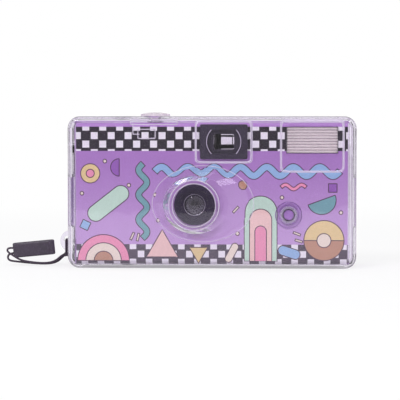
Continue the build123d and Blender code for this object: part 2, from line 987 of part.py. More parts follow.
def washer_z(name, x, y, outer, inner, z0, z1):
    with BuildPart() as washer:
        rod_z(x, y, outer, z0, z1)
        rod_z(x, y, inner, z0, z1, mode=Mode.SUBTRACT)
    write(name, washer.part)


def washer_y(name, x, z, outer, inner, y0, y1):
    with BuildPart() as washer:
        rod_y(x, z, outer, y0, y1)
        rod_y(x, z, inner, y0, y1, mode=Mode.SUBTRACT)
    write(name, washer.part)


def make_button_trim():
    washer_z(
        "button_clip",
        button_x,
        button_y,
        button_clip_radius,
        button_stem_radius - clip_groove + seat_gap,
        button_clip_z,
        button_clip_z + button_clip_thickness,
    )
    washer_z(
        "button_boot",
        button_x,
        button_y,
        boot_radius,
        button_stem_radius + spin_gap,
        button_well_z,
        button_well_z + boot_thickness,
    )
    coil_spring(
        "button_spring",
        (button_x, button_y, button_well_z + seat_gap),
        (0, 0, 1),
        spring_pitch_radius,
        spring_wire,
        spring_turns,
        button_recess_z - button_well_z - 2 * seat_gap,
    )


# Flash push of the case with its seal and clip
def make_flash_push():
    with BuildPart() as flash_push:
        rod_y(push_x, push_z, push_well_radius - free_gap, push_front_y, push_back_y)
        chamfer(flash_push.faces().sort_by(Axis.Y)[0].edges(), (push_back_y - push_front_y) / 4)
        rod_y(
            push_x,
            push_z,
            push_recess_radius,
            push_back_y - push_recess_depth,
            push_back_y,
            mode=Mode.SUBTRACT,
        )
        rod_y(push_x, push_z, push_stem_radius, push_back_y - push_recess_depth, push_end_y)
        turned_y(
            push_x,
            push_z,
            [
                (push_stem_radius - clip_groove, push_clip_y),
                (push_stem_radius + overrun, push_clip_y),
                (push_stem_radius + overrun, push_clip_y + push_clip_thickness),
                (push_stem_radius - clip_groove, push_clip_y + push_clip_thickness),
            ],
            mode=Mode.SUBTRACT,
        )
    write("flash_push", flash_push.part)
    washer_y(
        "flash_push_clip",
        push_x,
        push_z,
        push_clip_radius,
        push_stem_radius - clip_groove + seat_gap,
        push_clip_y,
        push_clip_y + push_clip_thickness,
    )
    washer_y(
        "flash_push_seal",
        push_x,
        push_z,
        push_seal_radius,
        push_stem_radius + spin_gap,
        push_well_y - push_seal_thickness,
        push_well_y,
    )


# Film advance knob, its shaft, friction ring and seal
def make_advance_knob():
    with BuildPart() as advance_knob:
        rod_y(spool_x, knob_z, knob_radius, knob_front_y, knob_back_y)
        fillet(advance_knob.faces().sort_by(Axis.Y)[-1].edges(), knob_thickness / 4)
        with BuildSketch(Plane.XZ.offset(-knob_back_y)) as scallops:
            with Locations((spool_x, knob_z)):
                with PolarLocations(knob_radius, knob_scallop_count):
                    Circle(knob_scallop_radius)
        extrude(scallops.sketch, amount=knob_thickness, mode=Mode.SUBTRACT)
        rod_y(
            spool_x,
            knob_z,
            knob_shaft_radius,
            knob_front_y,
            knob_front_y + knob_thickness / 2,
            mode=Mode.SUBTRACT,
        )
    write("advance_knob", advance_knob.part)
    with BuildPart() as knob_shaft:
        rod_y(spool_x, knob_z, knob_shaft_radius, friction_back_y, knob_front_y + knob_thickness / 2)
        rod_y(
            spool_x,
            knob_z,
            friction_core_radius - seat_gap,
            friction_back_y - knob_flange_thickness,
            friction_back_y,
        )
    write("knob_shaft", knob_shaft.part)
    washer_y(
        "friction_ring",
        spool_x,
        knob_z,
        friction_radius + friction_ring_width / 2,
        friction_core_radius,
        friction_front_y,
        friction_back_y,
    )
    washer_y(
        "knob_seal",
        spool_x,
        knob_z,
        knob_seal_radius,
        knob_shaft_radius + spin_gap,
        cavity_back_y,
        cavity_back_y + knob_seal_thickness - seat_gap,
    )


# Camera covers
def cover_profile(y0, y1, rounded_side):
    """Outline of one cover across its length, with its two outer edges rounded."""
    with BuildSketch(Plane.YZ.offset(-body_half)) as outline:
        with Locations(((y0 + y1) / 2, body_mid_z)):
            Rectangle(y1 - y0, body_height)
        fillet(outline.vertices().group_by(Axis.X)[rounded_side], body_edge_radius)
    extrude(outline.sketch, amount=body_width)


def make_front_cover():
    with BuildPart() as front_cover:
        cover_profile(-body_front_depth, 0, 0)
        cuboid(-inner_half, inner_half, inner_front_y, overrun, inner_base_z, inner_top_z, mode=Mode.SUBTRACT)
        rod_y(
            lens_x,
            lens_z,
            barrel_radius + slide_gap,
            -body_front_depth - overrun,
            inner_front_y + overrun,
            mode=Mode.SUBTRACT,
        )
        panel_y(
            viewfinder_x,
            viewfinder_z,
            viewfinder_plug_width + 2 * slide_gap,
            viewfinder_plug_height + 2 * slide_gap,
            window_corner_radius / 2,
            -body_front_depth - overrun,
            inner_front_y + overrun,
            mode=Mode.SUBTRACT,
        )
        panel_y(
            flash_x,
            flash_z,
            flash_window_width,
            flash_window_height,
            window_corner_radius / 4,
            -body_front_depth - overrun,
            inner_front_y + overrun,
            mode=Mode.SUBTRACT,
        )
        rod_y(
            push_x,
            push_z,
            flash_button_radius + slide_gap,
            -body_front_depth - overrun,
            inner_front_y + overrun,
            mode=Mode.SUBTRACT,
        )
        rod_z(
            button_x,
            button_y,
            shutter_cap_radius + 2 * slide_gap,
            inner_top_z - overrun,
            body_top_z + overrun,
            mode=Mode.SUBTRACT,
        )
        rod_z(
            counter_x + counter_window_offset,
            counter_y,
            counter_window_radius,
            inner_top_z - overrun,
            body_top_z + overrun,
            mode=Mode.SUBTRACT,
        )
        shutter_guide()
        for post_x in (board_left_x + board_post_inset, board_right_x - board_post_inset):
            for post_z in (board_base_z + board_post_inset, board_top_z - board_post_inset):
                rod_y(post_x, post_z, board_post_radius, inner_front_y, board_front_y)
        wheel_socket()
    write("front_cover", front_cover.part)


def wheel_socket():
    """The blind hole in the top of the body that carries the thumbwheel's hub."""
    rod_z(
        spool_x,
        spool_y,
        thumbwheel_hub_radius + spin_gap,
        inner_top_z - overrun,
        inner_top_z + thumbwheel_hub_length + slide_gap,
        mode=Mode.SUBTRACT,
    )


def shutter_guide():
    """A tube on a rib behind the front wall, which carries the shutter button's stem."""
    guide_base_z = shutter_guide_top_z - shutter_guide_length
    rod_z(button_x, button_y, shutter_guide_radius, guide_base_z, shutter_guide_top_z)
    cuboid(
        button_x - cover_wall / 2,
        button_x + cover_wall / 2,
        inner_front_y,
        button_y - shutter_stem_radius - slide_gap,
        guide_base_z,
        shutter_guide_top_z,
    )
    rod_z(
        button_x,
        button_y,
        shutter_stem_radius + slide_gap,
        guide_base_z,
        shutter_guide_top_z,
        mode=Mode.SUBTRACT,
    )


def make_back_cover():
    slot_half = sqrt(thumbwheel_radius**2 - (inner_back_y - spool_y) ** 2) + thumbwheel_slot_gap
    with BuildPart() as back_cover:
        cover_profile(0, body_back_depth, -1)
        cuboid(-inner_half, inner_half, -overrun, inner_back_y, inner_base_z, inner_top_z, mode=Mode.SUBTRACT)
        cuboid(
            lens_x - gate_width / 2,
            lens_x + gate_width / 2,
            film_y + film_thickness / 2 + slide_gap,
            inner_back_y,
            lens_z - gate_height / 2,
            lens_z + gate_height / 2,
        )
        cuboid(
            spool_x - slot_half,
            spool_x + slot_half,
            inner_back_y - overrun,
            body_back_depth + overrun,
            thumbwheel_base_z - thumbwheel_slot_gap,
            thumbwheel_top_z + thumbwheel_slot_gap,
            mode=Mode.SUBTRACT,
        )
        cuboid(
            viewfinder_x - eyepiece_width / 2,
            viewfinder_x + eyepiece_width / 2,
            inner_back_y - overrun,
            body_back_depth + overrun,
            viewfinder_z - eyepiece_height / 2,
            viewfinder_z + eyepiece_height / 2,
            mode=Mode.SUBTRACT,
        )
        rod_y(
            lamp_x,
            viewfinder_z,
            lamp_radius + seat_gap,
            inner_back_y - overrun,
            body_back_depth + overrun,
            mode=Mode.SUBTRACT,
        )
        rod_z(
            supply_x,
            roll_y,
            supply_pin_radius + spin_gap,
            supply_pin_base_z - slide_gap,
            inner_base_z + overrun,
            mode=Mode.SUBTRACT,
        )
        wheel_socket()
    write("back_cover", back_cover.part)


def make_printed_wrap():
    mid_y = (body_back_depth - body_front_depth) / 2
    depth = body_back_depth + body_front_depth
    with BuildPart() as printed_wrap:
        with BuildSketch(Plane.YZ.offset(-body_half)) as band:
            with Locations((mid_y, body_mid_z)):
                RectangleRounded(
                    depth + 2 * wrap_reach,
                    body_height + 2 * wrap_reach,
                    body_edge_radius + wrap_reach,
                )
                RectangleRounded(
                    depth + 2 * wrap_gap,
                    body_height + 2 * wrap_gap,
                    body_edge_radius + wrap_gap,
                    mode=Mode.SUBTRACT,
                )
        extrude(band.sketch, amount=body_width)
        front_cut = (wrap_front_y - overrun, inner_front_y)
        rod_y(lens_x, lens_z, barrel_radius + free_gap, *front_cut, mode=Mode.SUBTRACT)
        panel_y(
            viewfinder_x,
            viewfinder_z,
            viewfinder_plug_width + 2 * free_gap,
            viewfinder_plug_height + 2 * free_gap,
            window_corner_radius / 2,
            *front_cut,
            mode=Mode.SUBTRACT,
        )
        panel_y(
            flash_x,
            flash_z,
            flash_window_width + free_gap,
            flash_window_height + free_gap,
            window_corner_radius / 4,
            *front_cut,
            mode=Mode.SUBTRACT,
        )
        rod_y(push_x, push_z, flash_button_radius + free_gap, *front_cut, mode=Mode.SUBTRACT)
        top_cut = (inner_top_z, wrap_top_z + overrun)
        rod_z(button_x, button_y, shutter_cap_radius + 2 * free_gap, *top_cut, mode=Mode.SUBTRACT)
        rod_z(
            counter_x + counter_window_offset,
            counter_y,
            counter_window_radius,
            *top_cut,
            mode=Mode.SUBTRACT,
        )
        back_cut = (inner_back_y, body_back_depth + wrap_reach + overrun)
        slot_half = sqrt(thumbwheel_radius**2 - (inner_back_y - spool_y) ** 2) + 2 * thumbwheel_slot_gap
        cuboid(
            spool_x - slot_half,
            spool_x + slot_half,
            *back_cut,
            thumbwheel_base_z - 2 * thumbwheel_slot_gap,
            thumbwheel_top_z + 2 * thumbwheel_slot_gap,
            mode=Mode.SUBTRACT,
        )
        cuboid(
            viewfinder_x - eyepiece_width,
            viewfinder_x + eyepiece_width,
            *back_cut,
            viewfinder_z - eyepiece_height,
            viewfinder_z + eyepiece_height,
            mode=Mode.SUBTRACT,
        )
        rod_y(lamp_x, viewfinder_z, lamp_radius + free_gap, *back_cut, mode=Mode.SUBTRACT)
    write("printed_wrap", printed_wrap.part)


# Main frame
def light_chamber(inset, front_y, back_y, mode=Mode.ADD):
    """The tapered box between the film gate and the aperture, drawn in by the inset."""
    with BuildSketch(Plane.XZ.offset(-back_y)) as wide:
        with Locations((lens_x, lens_z)):
            Rectangle(chamber_back_width - 2 * inset, chamber_back_height - 2 * inset)
    with BuildSketch(Plane.XZ.offset(-front_y)) as narrow:
        with Locations((lens_x, lens_z)):
            Rectangle(chamber_front_size - 2 * inset, chamber_front_size - 2 * inset)
    loft(sections=[wide.sketch, narrow.sketch], mode=mode)


def make_main_frame():
    with BuildPart() as main_frame:
        cuboid(gate_plate_left_x, gate_plate_end_x, gate_front_y, gate_back_y, inner_base_z, shelf_top_z)
        cuboid(gate_plate_left_x, shelf_end_x, shelf_front_y, gate_back_y, shelf_base_z, shelf_top_z)
        cuboid(
            lens_x - front_plate_left,
            lens_x + front_plate_right,
            front_plate_y,
            front_plate_back_y,
            front_plate_base_z,
            front_plate_top_z,
        )
        light_chamber(0, front_plate_back_y - front_plate_thickness / 2, gate_front_y)
        rod_z(kick_x, 0, kick_post_radius, lens_z, shelf_base_z)
        rod_z(counter_x, counter_y, counter_post_radius, shelf_base_z, counter_top_z + counter_thickness)
        light_chamber(
            chamber_wall, front_plate_back_y - front_plate_thickness / 2, gate_front_y, mode=Mode.SUBTRACT
        )
        cuboid(
            lens_x - gate_width / 2,
            lens_x + gate_width / 2,
            gate_front_y - overrun / 2,
            gate_back_y + overrun,
            lens_z - gate_height / 2,
            lens_z + gate_height / 2,
            mode=Mode.SUBTRACT,
        )
        rod_y(
            lens_x,
            lens_z,
            barrel_tail_radius,
            front_plate_y - overrun,
            front_plate_back_y + overrun,
            mode=Mode.SUBTRACT,
        )
        rod_y(
            pivot_x,
            pivot_z,
            pivot_radius + seat_gap,
            front_plate_y - overrun,
            front_plate_back_y + overrun,
            mode=Mode.SUBTRACT,
        )
        window_half = sprocket_radius + sprocket_tooth_reach + 2 * free_gap
        cuboid(
            sprocket_x - window_half,
            sprocket_x + window_half,
            gate_front_y - overrun / 2,
            gate_back_y + overrun,
            sprocket_base_z - free_gap,
            sprocket_base_z + sprocket_thickness + free_gap,
            mode=Mode.SUBTRACT,
        )
        for pin_x, pin_y, pin_radius in (
            (sprocket_x, sprocket_y, sprocket_shaft_radius),
            (supply_x, roll_y, supply_pin_radius),
        ):
            rod_z(
                pin_x,
                pin_y,
                pin_radius + spin_gap,
                shelf_base_z - overrun,
                shelf_top_z + overrun,
                mode=Mode.SUBTRACT,
            )
    write("main_frame", main_frame.part)


# Shutter
def make_shutter():
    half = aperture_plate_width / 2
    with BuildPart() as aperture_plate:
        cuboid(
            lens_x - half,
            lens_x + half,
            aperture_plate_front_y,
            front_plate_y,
            front_plate_base_z + front_plate_gap,
            lens_z + aperture_plate_rise,
        )
        rod_y(
            lens_x,
            lens_z,
            aperture_radius,
            aperture_plate_front_y - overrun,
            front_plate_y + overrun,
            mode=Mode.SUBTRACT,
        )
        rod_y(
            pivot_x,
            pivot_z,
            pivot_radius + seat_gap,
            aperture_plate_front_y - overrun,
            front_plate_y + overrun,
            mode=Mode.SUBTRACT,
        )
    write("aperture_plate", aperture_plate.part)

    with BuildPart() as shutter_blade:
        with BuildSketch(Plane.XZ.offset(-blade_back_y)) as paddle:
            with Locations((lens_x, lens_z)):
                Circle(blade_disc_radius)
            with Locations((pivot_x, pivot_z)):
                Circle(blade_hub_radius)
            make_hull()
            with Locations((pivot_x, pivot_z + blade_tab_length / 2)):
                Rectangle(blade_tab_width, blade_tab_length)
            with Locations((pivot_x, pivot_z)):
                Circle(pivot_radius + spin_gap, mode=Mode.SUBTRACT)
        extrude(paddle.sketch, amount=blade_thickness)
    write("shutter_blade", shutter_blade.part)

    pivot_front_y = blade_front_y - pivot_front_reach
    with BuildPart() as shutter_pivot:
        rod_y(pivot_x, pivot_z, pivot_radius, pivot_front_y, front_plate_back_y)
        rod_y(pivot_x, pivot_z, pivot_head_radius, pivot_front_y, pivot_front_y + pivot_head_thickness)
    write("shutter_pivot", shutter_pivot.part)

    spring_front_y = pivot_front_y + pivot_head_thickness + slide_gap
    coil_spring(
        "blade_spring",
        (pivot_x, spring_front_y, pivot_z),
        (0, 1, 0),
        blade_spring_radius,
        blade_spring_wire,
        blade_spring_turns,
        blade_front_y - slide_gap - spring_front_y,
    )

    arm_tip_x = kick_x - kick_arm_length * sin(radians(kick_rest_angle))
    arm_tip_y = -kick_arm_length * cos(radians(kick_rest_angle))
    with BuildPart() as kick_lever:
        with BuildSketch(Plane.XY.offset(kick_base_z)) as lever:
            with Locations((kick_x, 0)):
                Circle(kick_hub_radius)
            with Locations((arm_tip_x, arm_tip_y)):
                Circle(kick_arm_width / 2)
            make_hull()
            with Locations((kick_x, 0)):
                Circle(kick_post_radius + spin_gap, mode=Mode.SUBTRACT)
        extrude(lever.sketch, amount=kick_thickness)
    write("kick_lever", kick_lever.part)


def make_shutter_button():
    cap_base_z = shutter_cap_top_z - shutter_cap_thickness
    with BuildPart() as shutter_button:
        rod_z(button_x, button_y, shutter_cap_radius, cap_base_z, shutter_cap_top_z)
        chamfer(shutter_button.faces().sort_by(Axis.Z)[-1].edges(), shutter_cap_thickness / 8)
        rod_z(button_x, button_y, shutter_stem_radius, cap_base_z - shutter_stem_length, cap_base_z)
    write("shutter_button", shutter_button.part)
    coil_spring(
        "shutter_spring",
        (button_x, button_y, shutter_guide_top_z + seat_gap),
        (0, 0, 1),
        shutter_spring_radius,
        shutter_spring_wire,
        shutter_spring_turns,
        cap_base_z - shutter_guide_top_z - 2 * seat_gap,
    )


# Lens
def make_lens():
    seat_y = barrel_front_y + barrel_cone_depth + lens_edge_thickness + lens_front_sagitta + slide_gap
    bore = lens_radius + seat_gap
    with BuildPart() as lens_barrel:
        turned_y(
            lens_x,
            lens_z,
            [
                (barrel_radius - barrel_rim, barrel_front_y),
                (barrel_radius, barrel_front_y),
                (barrel_radius, barrel_flange_front_y),
                (barrel_flange_radius, barrel_flange_front_y),
                (barrel_flange_radius, barrel_flange_back_y),
                (barrel_tail_radius, barrel_flange_back_y),
                (barrel_tail_radius, barrel_tail_y),
                (barrel_tail_radius - tunnel_wall, barrel_tail_y),
                (lens_seat_radius, seat_y + lens_seat_thickness),
                (lens_seat_radius, seat_y),
                (bore, seat_y),
                (bore, barrel_front_y + barrel_cone_depth),
            ],
        )
    write("lens_barrel", lens_barrel.part)
    edge_back_y = seat_y - seat_gap
    edge_front_y = edge_back_y - lens_edge_thickness
    with BuildPart() as taking_lens:
        with BuildSketch(Plane((lens_x, 0, lens_z), x_dir=(1, 0, 0), z_dir=(0, 0, 1))) as glass:
            with BuildLine():
                Line((0, edge_back_y - lens_back_sagitta), (0, edge_front_y - lens_front_sagitta))
                ThreePointArc(
                    (0, edge_front_y - lens_front_sagitta),
                    (
                        lens_radius / 2,
                        edge_front_y - lens_front_sagitta + cap_drop(lens_radius, lens_front_sagitta),
                    ),
                    (lens_radius, edge_front_y),
                )
                Line((lens_radius, edge_front_y), (lens_radius, edge_back_y))
                ThreePointArc(
                    (lens_radius, edge_back_y),
                    (
                        lens_radius / 2,
                        edge_back_y - lens_back_sagitta + cap_drop(lens_radius, lens_back_sagitta),
                    ),
                    (0, edge_back_y - lens_back_sagitta),
                )
            make_face()
        revolve(glass.sketch, axis=Axis((lens_x, 0, lens_z), (0, 1, 0)))
    write("taking_lens", taking_lens.part)


# Viewfinder: surround, front pane, tunnel and eyepiece
def make_viewfinder():
    dish_floor_y = flange_front_y + viewfinder_dish_depth
    with BuildPart() as viewfinder_frame:
        panel_y(
            viewfinder_x,
            viewfinder_z,
            viewfinder_flange_width,
            viewfinder_flange_height,
            window_corner_radius / 2,
            flange_front_y,
            flange_back_y,
        )
        panel_y(
            viewfinder_x,
            viewfinder_z,
            viewfinder_plug_width,
            viewfinder_plug_height,
            window_corner_radius / 2,
            flange_back_y,
            plug_back_y,
        )
        with BuildSketch(Plane.XZ.offset(-dish_floor_y)) as dish:
            with Locations((viewfinder_x, viewfinder_z)):
                Circle(viewfinder_dish_radius)
                Rectangle(2 * viewfinder_dish_radius, viewfinder_dish_height, mode=Mode.INTERSECT)
        extrude(dish.sketch, amount=viewfinder_dish_depth, mode=Mode.SUBTRACT)
        panel_y(
            viewfinder_x,
            viewfinder_z,
            viewfinder_bore_width,
            viewfinder_bore_height,
            viewfinder_step,
            dish_floor_y,
            plug_back_y,
            mode=Mode.SUBTRACT,
        )
    write("viewfinder_frame", viewfinder_frame.part)

    pane_y = dish_floor_y + viewfinder_step
    with BuildPart() as viewfinder_front_lens:
        panel_y(
            viewfinder_x,
            viewfinder_z,
            viewfinder_bore_width - 2 * seat_gap,
            viewfinder_bore_height - 2 * seat_gap,
            viewfinder_step,
            pane_y,
            pane_y + pane_thickness,
        )
        fillet(viewfinder_front_lens.faces().sort_by(Axis.Y)[0].edges(), pane_crown)
    write("viewfinder_front_lens", viewfinder_front_lens.part)

    tunnel_half = viewfinder_bore_width / 2 + tunnel_wall
    with BuildPart() as viewfinder_tunnel:
        cuboid(
            viewfinder_x - tunnel_half,
            viewfinder_x + tunnel_half,
            tunnel_front_y,
            tunnel_back_y,
            shelf_top_z,
            viewfinder_z + viewfinder_bore_height / 2 + tunnel_wall,
        )
        cuboid(
            viewfinder_x - viewfinder_bore_width / 2,
            viewfinder_x + viewfinder_bore_width / 2,
            tunnel_front_y,
            tunnel_back_y,
            viewfinder_z - viewfinder_bore_height / 2,
            viewfinder_z + viewfinder_bore_height / 2,
            mode=Mode.SUBTRACT,
        )
    write("viewfinder_tunnel", viewfinder_tunnel.part)

    with BuildPart() as viewfinder_eyepiece:
        panel_y(
            viewfinder_x,
            viewfinder_z,
            viewfinder_bore_width - 2 * seat_gap,
            viewfinder_bore_height - 2 * seat_gap,
            viewfinder_step,
            tunnel_back_y - pane_thickness,
            tunnel_back_y,
        )
    write("viewfinder_eyepiece", viewfinder_eyepiece.part)


# Flash: ribbed diffuser, trough reflector and tube
def make_flash():
    face_y = -body_front_depth - diffuser_reach
    pane_width = flash_window_width - 2 * slide_gap
    pane_height = flash_window_height - 2 * slide_gap
    with BuildPart() as flash_diffuser:
        panel_y(
            flash_x,
            flash_z,
            pane_width,
            pane_height,
            window_corner_radius / 4,
            face_y,
            reflector_front_y - slide_gap,
        )
        rib_pitch = pane_height / diffuser_rib_count
        for number in range(diffuser_rib_count):
            rib_z = flash_z - pane_height / 2 + rib_pitch * (number + 1 / 2)
            rod_x(
                face_y,
                rib_z,
                diffuser_rib_radius,
                flash_x - pane_width / 2 + free_gap,
                flash_x + pane_width / 2 - free_gap,
            )
    write("flash_diffuser", flash_diffuser.part)

    with BuildPart() as flash_reflector:
        reflector_slice(flash_x - reflector_half, 2 * reflector_half, 0)
        reflector_slice(
            flash_x - reflector_half + reflector_wall,
            2 * (reflector_half - reflector_wall),
            reflector_wall,
            mode=Mode.SUBTRACT,
        )
        rod_x(
            tube_y,
            flash_z,
            flash_tube_radius + slide_gap,
            flash_x - reflector_half - overrun,
            flash_x + reflector_half + overrun,
            mode=Mode.SUBTRACT,
        )
    write("flash_reflector", flash_reflector.part)

    tube_half = reflector_half + flash_tube_overhang
    with BuildPart() as flash_tube:
        rod_x(tube_y, flash_z, flash_tube_radius, flash_x - tube_half, flash_x + tube_half)
    write("flash_tube", flash_tube.part)


def reflector_slice(start_x, length, inset, mode=Mode.ADD):
    """Half an elliptic cylinder, open to the front."""
    height = flash_window_height / 2 - 2 * slide_gap
    with BuildSketch(Plane.YZ.offset(start_x)) as section:
        with Locations((reflector_front_y, flash_z)):
            Ellipse(reflector_depth - inset, height - inset)
        with Locations((reflector_front_y + reflector_depth / 2, flash_z)):
            Rectangle(reflector_depth, 2 * height, mode=Mode.INTERSECT)
    extrude(section.sketch, amount=length, mode=mode)


# Flash electronics
def make_electronics():
    with BuildPart() as flash_board:
        cuboid(board_left_x, board_right_x, board_front_y, board_back_y, board_base_z, board_top_z)
    write("flash_board", flash_board.part)

    capacitor_base_z = board_base_z + board_thickness
    with BuildPart() as flash_capacitor:
        rod_z(
            capacitor_x,
            capacitor_y,
            capacitor_radius,
            capacitor_base_z,
            board_top_z - capacitor_end_gap,
        )
        fillet(flash_capacitor.edges(), capacitor_groove)
        turned_z(
            capacitor_x,
            capacitor_y,
            [
                (capacitor_radius - capacitor_groove, capacitor_base_z + capacitor_radius / 2),
                (capacitor_radius + overrun, capacitor_base_z + capacitor_radius / 2 - overrun),
                (capacitor_radius + overrun, capacitor_base_z + capacitor_radius / 2 + overrun),
            ],
            mode=Mode.SUBTRACT,
        )
    write("flash_capacitor", flash_capacitor.part)

    with BuildPart() as flash_transformer:
        cuboid(
            transformer_x - transformer_width / 2,
            transformer_x + transformer_width / 2,
            board_back_y,
            board_back_y + transformer_depth,
            transformer_z - transformer_height / 2,
            transformer_z + transformer_height / 2,
        )
        fillet(flash_transformer.edges().filter_by(Axis.Y), transformer_depth / 4)
    write("flash_transformer", flash_transformer.part)

    with BuildPart() as battery:
        rod_x(
            battery_y,
            battery_z,
            battery_radius,
            battery_x - battery_length / 2,
            battery_x + battery_length / 2 - battery_nub_length,
        )
        fillet(battery.edges(), battery_nub_length / 2)
        rod_x(
            battery_y,
            battery_z,
            battery_nub_radius,
            battery_x + battery_length / 2 - battery_nub_length,
            battery_x + battery_length / 2,
        )
    write("battery", battery.part)

    with BuildPart() as battery_contacts:
        for side in (-1, 1):
            near_x = battery_length / 2 + slide_gap
            far_x = near_x + contact_thickness
            cuboid(
                battery_x + min(side * near_x, side * far_x),
                battery_x + max(side * near_x, side * far_x),
                battery_y - contact_width / 2,
                battery_y + contact_width / 2,
                inner_base_z,
                inner_base_z + contact_height,
            )
    write("battery_contacts", battery_contacts.part)

    flange_front = inner_front_y + slide_gap
    with BuildPart() as flash_button:
        rod_y(push_x, push_z, flash_button_radius, push_end_y + 2 * seat_gap, flange_front)
        rod_y(
            push_x,
            push_z,
            flash_button_flange_radius,
            flange_front,
            flange_front + flash_button_flange_thickness,
        )
    write("flash_button", flash_button.part)

    lamp_back_y = body_back_depth + lamp_reach
    with BuildPart() as ready_lamp:
        rod_y(lamp_x, viewfinder_z, lamp_radius, lamp_back_y - lamp_length, lamp_back_y)
        fillet(ready_lamp.faces().sort_by(Axis.Y)[-1].edges(), lamp_radius / 2)
    write("ready_lamp", ready_lamp.part)


# Film transport
def make_film_transport():
    can_hole = spool_neck_radius + 2 * slide_gap
    with BuildPart() as cartridge_can:
        rod_z(spool_x, spool_y, can_radius, can_base_z, can_top_z)
        rod_z(
            spool_x,
            spool_y,
            can_radius - can_wall,
            can_base_z + can_wall,
            can_top_z - can_wall,
            mode=Mode.SUBTRACT,
        )
        rod_z(spool_x, spool_y, can_hole, can_base_z - overrun, can_top_z + overrun, mode=Mode.SUBTRACT)
    write("cartridge_can", cartridge_can.part)

    with BuildPart() as cartridge_spool:
        rod_z(spool_x, spool_y, spool_neck_radius, can_base_z + slide_gap, thumbwheel_base_z)
        rod_z(
            spool_x,
            spool_y,
            spool_radius,
            can_base_z + can_wall + free_gap,
            can_top_z - can_wall - free_gap,
        )
    write("cartridge_spool", cartridge_spool.part)

    with BuildPart() as thumbwheel:
        rod_z(spool_x, spool_y, thumbwheel_radius, thumbwheel_base_z, thumbwheel_top_z)
        with BuildSketch(Plane.XY.offset(thumbwheel_base_z)) as notches:
            with Locations((spool_x, spool_y)):
                with PolarLocations(thumbwheel_radius, thumbwheel_notch_count):
                    Circle(thumbwheel_notch_radius)
        extrude(notches.sketch, amount=thumbwheel_thickness, mode=Mode.SUBTRACT)
        rod_z(
            spool_x,
            spool_y,
            thumbwheel_hub_radius,
            thumbwheel_top_z,
            inner_top_z + thumbwheel_hub_length,
        )
    write("thumbwheel", thumbwheel.part)

    make_film()
    make_supply()
    make_sprocket()
    make_counter()


def make_film():
    """The flat film between the cartridge's lip and the supply roll, with its two rows of perforations."""
    lip_half = sqrt(can_radius**2 - (film_y - film_thickness / 2 - spool_y) ** 2)
    start_x = spool_x + lip_half + slide_gap
    end_x = supply_x
    hole_count = int((end_x - start_x) / perforation_pitch)
    with BuildPart() as film_strip:
        cuboid(
            start_x,
            end_x,
            film_y - film_thickness / 2,
            film_y + film_thickness / 2,
            film_base_z,
            film_top_z,
        )
        row_z = film_height / 2 - perforation_inset - perforation_width / 2
        with BuildSketch(Plane.XZ.offset(-film_y - film_thickness)) as perforations:
            for row in (-1, 1):
                with Locations(((start_x + end_x) / 2, lens_z + row * row_z)):
                    with GridLocations(perforation_pitch, perforation_pitch, hole_count, 1):
                        Rectangle(perforation_height, perforation_width)
        extrude(perforations.sketch, amount=2 * film_thickness, mode=Mode.SUBTRACT)
    write("film_strip", film_strip.part)


def make_supply():
    with BuildPart() as film_roll:
        rod_z(supply_x, roll_y, roll_radius, film_base_z, film_top_z)
        rod_z(supply_x, roll_y, supply_spool_radius, film_base_z, film_top_z, mode=Mode.SUBTRACT)
    write("film_roll", film_roll.part)
    with BuildPart() as supply_spool:
        rod_z(
            supply_x,
            roll_y,
            supply_spool_radius,
            film_base_z + film_top_z - supply_spool_top_z,
            supply_spool_top_z,
        )
        rod_z(supply_x, roll_y, supply_pin_radius, supply_pin_base_z, shelf_top_z + supply_pin_radius)
    write("supply_spool", supply_spool.part)


def make_sprocket():
    with BuildPart() as sprocket:
        rod_z(sprocket_x, sprocket_y, sprocket_radius, sprocket_base_z, sprocket_base_z + sprocket_thickness)
        tooth_z = sprocket_base_z + sprocket_thickness / 3
        with BuildSketch(Plane.XY.offset(tooth_z)) as teeth:
            with Locations((sprocket_x, sprocket_y)):
                with PolarLocations(sprocket_radius, sprocket_tooth_count):
                    Rectangle(2 * sprocket_tooth_reach, sprocket_tooth_width)
        extrude(teeth.sketch, amount=sprocket_tooth_height)
        collar_z = shelf_top_z + slide_gap
        rod_z(
            sprocket_x,
            sprocket_y,
            sprocket_shaft_radius,
            sprocket_base_z,
            collar_z + sprocket_collar_height,
        )
        rod_z(sprocket_x, sprocket_y, sprocket_collar_radius, collar_z, collar_z + sprocket_collar_height)
    write("sprocket", sprocket.part)


def make_counter():
    with BuildPart() as counter_disc:
        rod_z(counter_x, counter_y, counter_radius, counter_top_z, counter_top_z + counter_thickness)
        rod_z(counter_x, counter_y, counter_hub_radius, shelf_top_z + slide_gap, counter_top_z)
        rod_z(
            counter_x,
            counter_y,
            counter_post_radius + spin_gap,
            shelf_top_z,
            counter_top_z + overrun,
            mode=Mode.SUBTRACT,
        )
    write("counter_disc", counter_disc.part)


# Strap: a thin doubled cord on the lug that ends in a flat sleeve
cord_radius = cord_diameter / 2
corner_share = 0.45
lug_mid_y = -lug_back_gap - lug_thickness / 2
knot_x = -case_half - lug_hole_dx
sleeve_x = -case_half - sleeve_from_side
knot_z = lug_z - lug_radius - knot_height / 2 - slide_gap

# The routes' points are distances out from the case's left side and heights, with one y for each cord
upper_cord_y = -2.25
lower_cord_y = -1.35
upper_cord_route = [
    (2.8, 4.95),
    (4.5, 4.05),
    (6.3, 2.2),
    (8.5, 1.15),
    (11.6, 0.95),
    (16.0, 1.45),
    (19.6, 2.2),
    (22.3, 3.9),
    (24.3, 5.1),
    (25.6, 6.2),
    (24.9, 7.5),
    (22.1, 7.3),
]
lower_cord_route = [
    (2.8, 4.55),
    (4.2, 3.35),
    (5.8, 1.65),
    (8.1, 0.78),
    (11.3, 0.62),
    (16.2, 1.0),
    (21.2, 1.5),
    (24.6, 1.9),
    (25.5, 3.3),
    (24.6, 4.9),
    (22.0, 5.2),
]


def strap_plane(y):
    return Plane((0, y, 0), x_dir=(1, 0, 0), z_dir=(0, -1, 0))


